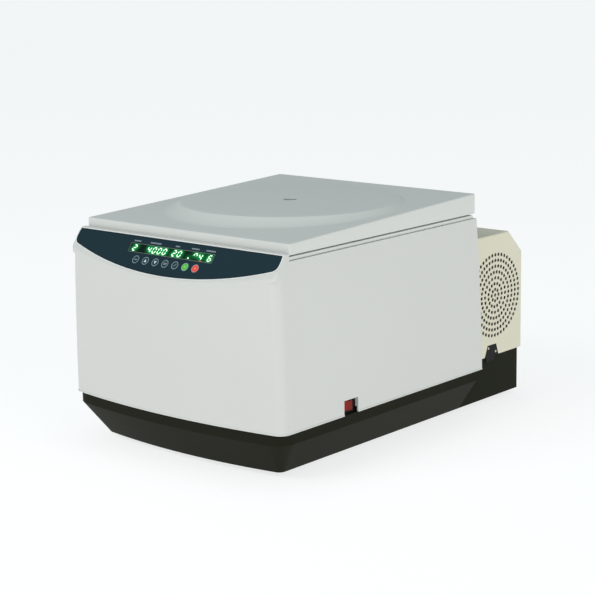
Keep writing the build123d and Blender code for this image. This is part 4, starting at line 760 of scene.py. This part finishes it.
ring_tree, ring_start, ring_end = sized_tree("key_ring", RING_SIZES)
ring_outside = add_node(ring_tree, "GeometryNodeCurvePrimitiveCircle")
ring_inside = add_node(ring_tree, "GeometryNodeCurvePrimitiveCircle")
ring_bore = add_node(ring_tree, "ShaderNodeMath")
ring_bore.operation = "SUBTRACT"
ring_pair = add_node(ring_tree, "GeometryNodeJoinGeometry")
ring_face = add_node(ring_tree, "GeometryNodeFillCurve")
wire(
    ring_tree,
    (ring_start, "Radius", ring_outside, "Radius"),
    (ring_start, "Radius", ring_bore, 0),
    (ring_start, "Width", ring_bore, 1),
    (ring_bore, "Value", ring_inside, "Radius"),
    (ring_start, "Sides", ring_outside, "Resolution"),
    (ring_outside, "Curve", ring_pair, "Geometry"),
    (ring_start, "Sides", ring_inside, "Resolution"),
    (ring_inside, "Curve", ring_pair, "Geometry"),
    (ring_pair, "Geometry", ring_face, "Curve"),
)
close_tree(ring_tree, ring_start, ring_end, ring_face, "Mesh")

key_dark = moulded(
    "key_dark", KEY_COLOUR, roughness=0.4, grain=4000.0, shader_inputs={"Specular IOR Level": 0.15}
)
ring_ink = moulded("ring_ink", RING_COLOUR, roughness=0.5, grain=5000.0, mottle=0.15)
arrow_ink = moulded("arrow_ink", ARROW_COLOUR, roughness=0.45, grain=5000.0)
for index, name in enumerate(KEY_NAMES):
    key_u = KEY_FIRST_U + index * KEY_PITCH
    key_place = on_fascia @ Matrix.Translation((key_u, KEY_V, KEY_TOP + PRINT_LIFT))
    mark_ink = arrow_ink if name in ("up_key", "down_key") else pale_ink
    key_prints = [grown(name + "_ring", ring_tree, key_place, ring_ink, RING_SIZES)]
    if name in KEY_COLOURS:
        dress(moulded(name + "_cap", KEY_COLOURS[name], roughness=0.38, grain=4000.0), name)
        mark_ink = moulded(name + "_ink", MARK_COLOURS[name], roughness=0.45, grain=5000.0)
        key_prints.append(grown(name + "_rim", ring_tree, key_place, key_dark, RIM_SIZES))
    else:
        dress(key_dark, name)
    finish_edges(0.0, name)
    points = []
    faces = []
    for mark in KEY_MARKS[name]:
        first = len(points)
        points += [(mark_u, mark_v, 0) for mark_u, mark_v in mark]
        faces.append(tuple(range(first, len(points))))
    key_mark = plain_mesh(name + "_mark", points, faces, key_place)
    key_mark.data.materials.append(mark_ink)
    key_prints.append(key_mark)
    for piece in key_prints:
        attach(piece, KEY_BODIES[index])


# Power switch: a black snap-in frame in the notch, with a glossy translucent red rocker.
# Its rear half is pressed in, and the browner colour of that half is a painted reflection.
ROCKER_COLOUR = (0.30, 0.010, 0.009)
# Colour of the rocker's rear half: a painted reflection of the lighter surroundings, browner than the
# front.
ROCKER_REAR_REFLECTION_COLOUR = (0.20, 0.018, 0.012)
ROCKER_PLACE = Vector((0.238, -0.1933, 0.103))
ROCKER_REFLECTION_BLEND = 0.0015
BLACK_COLOUR = (0.006, 0.0062, 0.006)

rocker_plastic = moulded(
    "rocker_plastic",
    ROCKER_COLOUR,
    roughness=0.24,
    grain=1500.0,
    mottle=0.25,
    shader_inputs={"Specular IOR Level": 0.15},
)
rocker_tree = rocker_plastic.node_tree
rocker_shader = rocker_tree.nodes["Principled BSDF"]
# Painted reflection: past the rocker's middle, its rear half takes the browner colour.
rocker_middle = (nodes["power_rocker"].matrix_world.inverted() @ ROCKER_PLACE).y
front_half = rocker_shader.inputs["Base Color"].links[0].from_node
rocker_axes = add_node(rocker_tree, "ShaderNodeTexCoord")
rocker_parts = add_node(rocker_tree, "ShaderNodeSeparateXYZ")
split_ends = {"From Min": rocker_middle - ROCKER_REFLECTION_BLEND, "From Max": rocker_middle + ROCKER_REFLECTION_BLEND}
rocker_reflection_mask = add_node(rocker_tree, "ShaderNodeMapRange", split_ends)
rocker_reflection_mix = colour_mix(rocker_tree, ROCKER_COLOUR, ROCKER_REAR_REFLECTION_COLOUR)
wire(
    rocker_tree,
    (rocker_axes, "Object", rocker_parts, "Vector"),
    (rocker_parts, "Y", rocker_reflection_mask, "Value"),
    (rocker_reflection_mask, "Result", rocker_reflection_mix, "Factor"),
    (front_half, "Result", rocker_reflection_mix, "A"),
    (rocker_reflection_mix, "Result", rocker_shader, "Base Color"),
)
matt_black = moulded("matt_black", BLACK_COLOUR, roughness=0.4, shader_inputs={"Specular IOR Level": 0.12})
dress(matt_black, "switch_frame")
dress(rocker_plastic, "power_rocker")
finish_edges(0.0003, "switch_frame", "power_rocker")


# Electronics: circuit boards behind the fascia and the inverter's finned aluminium block.
# None of it shows while the casing is on.
BOARD_COLOUR = (0.015, 0.11, 0.04)
ALUMINIUM_COLOUR = (0.55, 0.56, 0.57)

circuit_board = moulded(
    "circuit_board", BOARD_COLOUR, roughness=0.4, grain=800.0, grain_height=0.0002, mottle=0.3
)
cast_aluminium = drawn_metal(
    "cast_aluminium", ALUMINIUM_COLOUR, roughness=0.42, line_scale=(700.0, 700.0, 700.0)
)
dress(circuit_board, "display_board", "control_board")
dress(cast_aluminium, "motor_drive")
finish_edges(0.0, "display_board", "control_board", "motor_drive")


# Deck and chamber: a light grey moulded deck under the lid, and a brushed steel bowl with
# a rolled flange, set in foam. A soft black rubber gasket lies round the bowl's mouth, and
# a rubber boot closes the hole for the motor's shaft.
DECK_COLOUR = (0.72, 0.74, 0.72)
STEEL_COLOUR = (0.58, 0.58, 0.57)
RUBBER_COLOUR = (0.02, 0.02, 0.02)
FOAM_COLOUR = (0.62, 0.52, 0.30)

deck_plastic = moulded("deck_plastic", DECK_COLOUR, roughness=0.48, mottle=0.02)
bright_steel = drawn_metal("bright_steel", STEEL_COLOUR, roughness=0.27, line_scale=(60.0, 60.0, 2400.0))
soft_rubber = moulded("soft_rubber", RUBBER_COLOUR, roughness=0.62, grain=3000.0)
insulation_foam = moulded(
    "insulation_foam", FOAM_COLOUR, roughness=0.85, grain=420.0, grain_height=0.0006, mottle=0.15
)
dress(deck_plastic, "top_deck")
dress(bright_steel, "chamber_bowl")
dress(soft_rubber, "chamber_gasket", "shaft_boot")
dress(insulation_foam, "chamber_insulation")
finish_edges(0.0006, "top_deck")
finish_edges(0.0, "chamber_bowl", "chamber_gasket", "shaft_boot", "chamber_insulation")


# Refrigerant circuit: copper tube wound round the bowl, a black enamelled compressor and
# the copper pipes that join them to the condenser, whose thin aluminium fins are pressed
# on straight tubes between two end plates.
COPPER_COLOUR = (0.72, 0.34, 0.20)
ENAMEL_COLOUR = (0.012, 0.012, 0.013)
CONDENSER_LOW = (-0.196, 0.218, 0.108)
CONDENSER_HIGH = (-0.158, 0.364, 0.292)
FIN_SIZES = {"Fins": 73, "Fin Thickness": 0.0003, "Tube Rows": 8, "Tube Radius": 0.004}
END_PLATE = 0.003
END_PLATE_LAP_X = 0.004
END_PLATE_LAP_Z = 0.008
TUBE_SIDES = 24
TUBE_INSET = 0.012

copper = drawn_metal("copper", COPPER_COLOUR, roughness=0.3, line_scale=(300.0, 300.0, 300.0))
enamel = moulded("enamel", ENAMEL_COLOUR, roughness=0.22, grain=600.0, grain_height=0.0001)
dress(copper, "evaporator_coil", "copper_pipes", "filter_drier")
dress(enamel, "compressor")
dress(soft_rubber, "rubber_mounts")
finish_edges(0.0, "evaporator_coil", "copper_pipes", "filter_drier", "compressor", "rubber_mounts")


def spaced_row(tree, row_start, row_end):
    """Adds a node with evenly spaced points from one place to another."""
    row = add_node(tree, "GeometryNodeMeshLine")
    row.mode = "END_POINTS"
    row.inputs["Start Location"].default_value = row_start
    row.inputs["Offset"].default_value = row_end
    return row


fin_tree, fin_start, fin_end = sized_tree("condenser_fins", FIN_SIZES)
fin_width, fin_length, fin_height = (high - low for low, high in zip(CONDENSER_LOW, CONDENSER_HIGH))
fin_x, fin_y, fin_z = ((high + low) / 2 for low, high in zip(CONDENSER_LOW, CONDENSER_HIGH))
fin_size = add_node(fin_tree, "ShaderNodeCombineXYZ", {"X": fin_width, "Z": fin_height})
fin_plate = add_node(fin_tree, "GeometryNodeMeshCube")
fin_row = spaced_row(fin_tree, (fin_x, CONDENSER_LOW[1], fin_z), (fin_x, CONDENSER_HIGH[1], fin_z))
fins = add_node(fin_tree, "GeometryNodeInstanceOnPoints")
tube_sizes = {"Vertices": TUBE_SIDES, "Depth": fin_length + 2 * END_PLATE}
tube = add_node(fin_tree, "GeometryNodeMeshCylinder", tube_sizes)
tube_low = (fin_x, fin_y, CONDENSER_LOW[2] + TUBE_INSET)
tube_high = (fin_x, fin_y, CONDENSER_HIGH[2] - TUBE_INSET)
tube_row = spaced_row(fin_tree, tube_low, tube_high)
tubes = add_node(fin_tree, "GeometryNodeInstanceOnPoints", {"Rotation": (math.radians(90), 0, 0)})
fin_block = add_node(fin_tree, "GeometryNodeJoinGeometry")
wire(
    fin_tree,
    (fin_start, "Fin Thickness", fin_size, "Y"),
    (fin_size, "Vector", fin_plate, "Size"),
    (fin_start, "Fins", fin_row, "Count"),
    (fin_row, "Mesh", fins, "Points"),
    (fin_plate, "Mesh", fins, "Instance"),
    (fin_start, "Tube Radius", tube, "Radius"),
    (fin_start, "Tube Rows", tube_row, "Count"),
    (tube_row, "Mesh", tubes, "Points"),
    (tube, "Mesh", tubes, "Instance"),
    (fins, "Instances", fin_block, "Geometry"),
    (tubes, "Instances", fin_block, "Geometry"),
)
end_plate_size = (fin_width + END_PLATE_LAP_X, END_PLATE, fin_height + END_PLATE_LAP_Z)
for end_y in (CONDENSER_LOW[1] - END_PLATE / 2, CONDENSER_HIGH[1] + END_PLATE / 2):
    end_plate = add_node(fin_tree, "GeometryNodeMeshCube", {"Size": end_plate_size})
    end_place = add_node(fin_tree, "GeometryNodeTransform", {"Translation": (fin_x, end_y, fin_z)})
    wire(
        fin_tree,
        (end_plate, "Mesh", end_place, "Geometry"),
        (end_place, "Geometry", fin_block, "Geometry"),
    )
close_tree(fin_tree, fin_start, fin_end, fin_block, "Geometry")
condenser_fins = grown("condenser_fins", fin_tree, Matrix.Identity(4), cast_aluminium, FIN_SIZES)
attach(condenser_fins, "centrifuge")
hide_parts("condenser")


# Drive: a cast aluminium motor, hung on rubber dampers from a plated plate below the
# chamber. Its ground steel shaft turns in two ball bearings.
dress(zinc_steel, "motor_plate")
dress(cast_aluminium, "motor_housing")
dress(bright_steel, "motor_bearings", "motor_shaft")
finish_edges(0.0, "motor_plate", "motor_housing", "motor_bearings", "motor_shaft")


# Rotor: a machined aluminium cross with steel trunnion pins and four anodised buckets,
# held on the shaft by a steel nut.
ANODISED_COLOUR = (0.46, 0.48, 0.50)
BUCKETS = ["bucket_1", "bucket_2", "bucket_3", "bucket_4"]

anodised = drawn_metal("anodised", ANODISED_COLOUR, roughness=0.34, line_scale=(50.0, 50.0, 1800.0))
dress(cast_aluminium, "rotor_head")
dress(bright_steel, "rotor_nut")
dress(anodised, *BUCKETS)
finish_edges(0.0005, "rotor_head", "rotor_nut")
finish_edges(0.0, *BUCKETS)


# Lid cover: a thin grey-white wedge, pressed with a round level disc that rises out of it.
# The disc's ramp is crisp at its upper edge and melts into the lid at its foot.
LID_COLOUR = (0.655, 0.665, 0.645)
LID_HALF_WIDTH = 0.238
LID_FRONT = -0.3295
LID_REAR = 0.191
LID_BOTTOM = 0.3835
LID_FRONT_TOP = 0.402
LID_REAR_TOP = 0.420
LID_CORNER = 0.0022
LID_EDGE = 0.0022
LID_WALL = 0.0035
NOTCH_X = (0.136, 0.200)
NOTCH_TOP = 0.3905
REAR_TOLERANCE = 0.00001
DISC_Y = -0.052
DISC_RADIUS = 0.200
FLAT_RADIUS = DISC_RADIUS - 0.002
RAMP_SLOPE = 20.0 / 42.0
RAMP_HOLLOW = 1.5
LEAST_RISE = 0.000001
CRISP_EDGE = 0.0012
VIEW_RADIUS = 0.014
RINGS_FLAT = 8
RINGS_RAMP = 56
RING_SPREAD = (0.45, 0.55)
SPOKES = 360
SPOKE_DIGITS = 7
NEARLY_ZERO = 0.000000001
CORNER_STEPS = 6
EDGE_STEPS = 5


def from_disc(turn, distance):
    """Point of the lid in one direction from the disc's centre, seen from above."""
    return distance * math.cos(turn), DISC_Y + distance * math.sin(turn)


def spoke_directions():
    """Directions from the disc's centre: all round, along the four corners, at the notches."""
    turns = [2 * math.pi * step / SPOKES for step in range(SPOKES)]
    for side_x in (-1, 1):
        for side_y, edge_y in ((-1, LID_FRONT), (1, LID_REAR)):
            for step in range(CORNER_STEPS + 1):
                bend = math.radians(90) * step / CORNER_STEPS
                corner_x = side_x * (LID_HALF_WIDTH - LID_CORNER * (1 - math.sin(bend)))
                corner_y = edge_y - side_y * LID_CORNER * (1 - math.cos(bend)) - DISC_Y
                turns.append(math.atan2(corner_y, corner_x) % (2 * math.pi))
        for notch_x in NOTCH_X:
            turns.append(math.atan2(LID_REAR - DISC_Y, side_x * notch_x) % (2 * math.pi))
    return sorted(set(round(turn, SPOKE_DIGITS) for turn in turns))


def lid_boundary(turn):
    """Distance from the disc's centre to the lid's rounded outline, in one direction."""
    direction = np.array((math.cos(turn), math.sin(turn)))
    low = np.array((-LID_HALF_WIDTH, LID_FRONT - DISC_Y))
    high = np.array((LID_HALF_WIDTH, LID_REAR - DISC_Y))
    reach = min(
        (high[axis] if direction[axis] > 0 else low[axis]) / direction[axis]
        for axis in (0, 1)
        if abs(direction[axis]) > NEARLY_ZERO
    )
    edge_point = direction * reach
    corner = np.where(edge_point > 0, high - LID_CORNER, low + LID_CORNER)
    outside = (edge_point - corner) * np.sign(edge_point)
    if outside[0] > 0 and outside[1] > 0:
        along = float(direction @ corner)
        off = float(corner @ corner) - along**2
        reach = along + math.sqrt(max(0.0, LID_CORNER**2 - off))
    return reach


def lid_height(x, y):
    """Height of the lid's skin: a slanted plane and the hollow ramp up to the level disc."""
    share = (y - LID_FRONT) / (LID_REAR - LID_FRONT)
    plane = LID_FRONT_TOP + (LID_REAR_TOP - LID_FRONT_TOP) * share
    rise = max(LID_REAR_TOP - plane, LEAST_RISE)
    away = math.hypot(x, y - DISC_Y) - DISC_RADIUS
    rounded_away = (away + math.hypot(away, CRISP_EDGE)) / 2
    left_to_foot = max(0.0, 1 - rounded_away * RAMP_SLOPE / rise)
    return min(LID_REAR_TOP, plane + rise * left_to_foot**RAMP_HOLLOW)


spoke_turns = spoke_directions()
spoke_count = len(spoke_turns)
boundaries = [lid_boundary(turn) for turn in spoke_turns]
top_rings = []
for ring in range(RINGS_FLAT + 1):
    top_rings.append([VIEW_RADIUS + (FLAT_RADIUS - VIEW_RADIUS) * ring / RINGS_FLAT] * spoke_count)
for ring in range(1, RINGS_RAMP + 1):
    share = ring / RINGS_RAMP
    ring_share = RING_SPREAD[0] * share + RING_SPREAD[1] * share**2
    top_rings.append([FLAT_RADIUS + (reach - LID_EDGE - FLAT_RADIUS) * ring_share for reach in boundaries])
lid_points = []
for ring_radii in top_rings:
    for turn, ring_radius in zip(spoke_turns, ring_radii):
        x, y = from_disc(turn, ring_radius)
        lid_points.append((x, y, lid_height(x, y)))
for step in range(1, EDGE_STEPS + 1):
    bend = math.radians(90) * step / EDGE_STEPS
    for turn, reach in zip(spoke_turns, boundaries):
        limit = reach - LID_EDGE
        height = lid_height(*from_disc(turn, limit)) - LID_EDGE * (1 - math.cos(bend))
        lid_points.append((*from_disc(turn, limit + LID_EDGE * math.sin(bend)), height))
for height in (NOTCH_TOP, LID_BOTTOM):
    for turn, reach in zip(spoke_turns, boundaries):
        lid_points.append((*from_disc(turn, reach), height))
ring_total = len(lid_points) // spoke_count
lid_faces = []
for ring in range(ring_total - 1):
    low_row = ring * spoke_count
    high_row = low_row + spoke_count
    for spoke in range(spoke_count):
        following = (spoke + 1) % spoke_count
        here_x, here_y = lid_points[high_row + spoke][:2]
        next_x, next_y = lid_points[high_row + following][:2]
        is_rear = min(here_y, next_y) > LID_REAR - REAR_TOLERANCE
        is_notch = NOTCH_X[0] < abs((here_x + next_x) / 2) < NOTCH_X[1]
        if ring == ring_total - 2 and is_rear and is_notch:
            continue
        lid_faces.append((low_row + spoke, high_row + spoke, high_row + following, low_row + following))
lid_skin = plain_mesh("lid_skin", lid_points, lid_faces, Matrix.Identity(4))
for polygon in lid_skin.data.polygons:
    polygon.use_smooth = True
lid_wall = lid_skin.modifiers.new("wall", "SOLIDIFY")
lid_wall.thickness = LID_WALL
lid_wall.offset = -1.0
lid_edges = lid_skin.modifiers.new("joined_faces", "NODES")
lid_edges.node_group = joined_tree
lid_plastic = moulded("lid_plastic", LID_COLOUR, roughness=0.5, **SATIN)
lid_skin.data.materials.append(lid_plastic)
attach(lid_skin, "lid")
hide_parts("lid_cover")


# Inside of the lid: frosted sight glass with a dark sealing ring, smooth white liner, foam
# and the steel striker. The lock below it has a plated frame, a steel bolt and a motor.
GLASS_COLOUR = (0.44, 0.50, 0.49)
LINER_COLOUR = (0.72, 0.73, 0.72)
GLASS_TOP = 0.4174
SEAL_OUTER = 0.0138
SEAL_INNER = 0.0129
SEAL_HEIGHT = 0.0005
SEAL_SHOULDER = SEAL_HEIGHT * 0.7
SEAL_SIDES = 64
SEAL_PROFILE = [
    (SEAL_OUTER, 0),
    (SEAL_OUTER, SEAL_SHOULDER),
    ((SEAL_OUTER + SEAL_INNER) / 2, SEAL_HEIGHT),
    (SEAL_INNER, SEAL_SHOULDER),
    (SEAL_INNER, 0),
]

sight_glass = moulded(
    "sight_glass", GLASS_COLOUR, roughness=0.28, grain=1800.0, mottle=0.03, shader_inputs={"Alpha": 0.93}
)
seal_points = []
seal_faces = []
profile_count = len(SEAL_PROFILE)
for side in range(SEAL_SIDES):
    turn = 2 * math.pi * side / SEAL_SIDES
    for seal_radius, seal_z in SEAL_PROFILE:
        seal_points.append((*from_disc(turn, seal_radius), GLASS_TOP + seal_z))
    here = side * profile_count
    there = (side + 1) % SEAL_SIDES * profile_count
    for step in range(profile_count):
        next_step = (step + 1) % profile_count
        seal_faces.append((here + step, there + step, there + next_step, here + next_step))
glass_seal = plain_mesh("glass_seal", seal_points, seal_faces, Matrix.Identity(4))
for polygon in glass_seal.data.polygons:
    polygon.use_smooth = True
glass_seal.data.materials.append(soft_rubber)
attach(glass_seal, "lid")
liner_plastic = moulded("liner_plastic", LINER_COLOUR, roughness=0.35, mottle=0.02)
dress(sight_glass, "viewport_window")
dress(liner_plastic, "lid_liner")
dress(insulation_foam, "lid_insulation")
dress(bright_steel, "lid_striker", "lock_bolt", "lock_motor")
dress(zinc_steel, "lock_frame")
finish_edges(0.0, "viewport_window", "lid_liner", "lid_insulation", "lock_motor")
finish_edges(0.0004, "lid_striker", "lock_bolt", "lock_frame")


# Hinge: plated arms on the lid, ground pins, brackets on the casing behind the deck
# and friction cartridges that hold the lid where it is left.
dress(zinc_steel, "hinge_arms", "hinge_brackets")
dress(bright_steel, "hinge_pins")
dress(socket_plastic, "friction_cartridges")
finish_edges(0.0003, "hinge_arms", "hinge_brackets", "friction_cartridges")
finish_edges(0.0, "hinge_pins")


# Rear housing: beige powder-coated sheet steel, with a round field of punched holes in each
# side. Two black plastic clamps hold it on the base, each with two small cross-head screws.
HOUSING_COLOUR = (0.700, 0.668, 0.535)
SCREW_PLACES = [(0.277, 0.1075), (0.301, 0.098)]
SCREW_FACE_X = 0.2102
HEAD_HEIGHT = 0.0012
SCREW_SIZES = {
    "Head Radius": 0.0026,
    "Head Height": HEAD_HEIGHT,
    "Recess Length": 0.0028,
    "Recess Width": 0.0006,
}
DOME_SIZES = {"Segments": 40, "Rings": 20}

housing_coat = moulded(
    "housing_coat", HOUSING_COLOUR, roughness=0.5, grain=1500.0, grain_height=0.00008, mottle=0.02
)
dress(housing_coat, "rear_housing")
dress(matt_black, "housing_clamps")
finish_edges(0.0004, "housing_clamps")

screw_tree, screw_start, screw_end = sized_tree("clamp_screws", SCREW_SIZES)
dome = add_node(screw_tree, "GeometryNodeMeshUVSphere", DOME_SIZES)
dome_size = add_node(screw_tree, "ShaderNodeCombineXYZ")
flatten = add_node(screw_tree, "GeometryNodeTransform")
recess_size = add_node(screw_tree, "ShaderNodeCombineXYZ", {"Z": HEAD_HEIGHT})
cut = add_node(screw_tree, "GeometryNodeMeshBoolean")
cut.operation = "DIFFERENCE"
wire(
    screw_tree,
    (screw_start, "Head Radius", dome_size, "X"),
    (screw_start, "Head Radius", dome_size, "Y"),
    (screw_start, "Head Height", dome_size, "Z"),
    (dome, "Mesh", flatten, "Geometry"),
    (dome_size, "Vector", flatten, "Scale"),
    (screw_start, "Recess Length", recess_size, "X"),
    (screw_start, "Recess Width", recess_size, "Y"),
    (flatten, "Geometry", cut, "Mesh 1"),
)
for bar_turn in (0.0, math.radians(90)):
    bar = add_node(screw_tree, "GeometryNodeMeshCube")
    bar_place = {"Rotation": (0, 0, bar_turn), "Translation": (0, 0, HEAD_HEIGHT)}
    turned_bar = add_node(screw_tree, "GeometryNodeTransform", bar_place)
    wire(
        screw_tree,
        (recess_size, "Vector", bar, "Size"),
        (bar, "Mesh", turned_bar, "Geometry"),
        (turned_bar, "Geometry", cut, "Mesh 2"),
    )
heads = add_node(screw_tree, "GeometryNodeJoinGeometry")
for side in (-1, 1):
    for screw_y, screw_z in SCREW_PLACES:
        seat_place = {
            "Rotation": (0, side * math.radians(90), 0),
            "Translation": (side * SCREW_FACE_X, screw_y, screw_z),
        }
        seat = add_node(screw_tree, "GeometryNodeTransform", seat_place)
        wire(screw_tree, (cut, "Mesh", seat, "Geometry"), (seat, "Geometry", heads, "Geometry"))
close_tree(screw_tree, screw_start, screw_end, heads, "Geometry")
screw_heads = grown("screw_heads", screw_tree, Matrix.Identity(4), bright_steel, SCREW_SIZES)
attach(screw_heads, "centrifuge")
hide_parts("clamp_screws")


# Fan: a moulded black plastic shroud and blades on a small black motor, set just behind
# the punched holes in the right side of the housing.
dress(matt_black, "fan_shroud", "fan_blades", "fan_motor")
finish_edges(0.0003, "fan_blades")
finish_edges(0.0, "fan_shroud", "fan_motor")
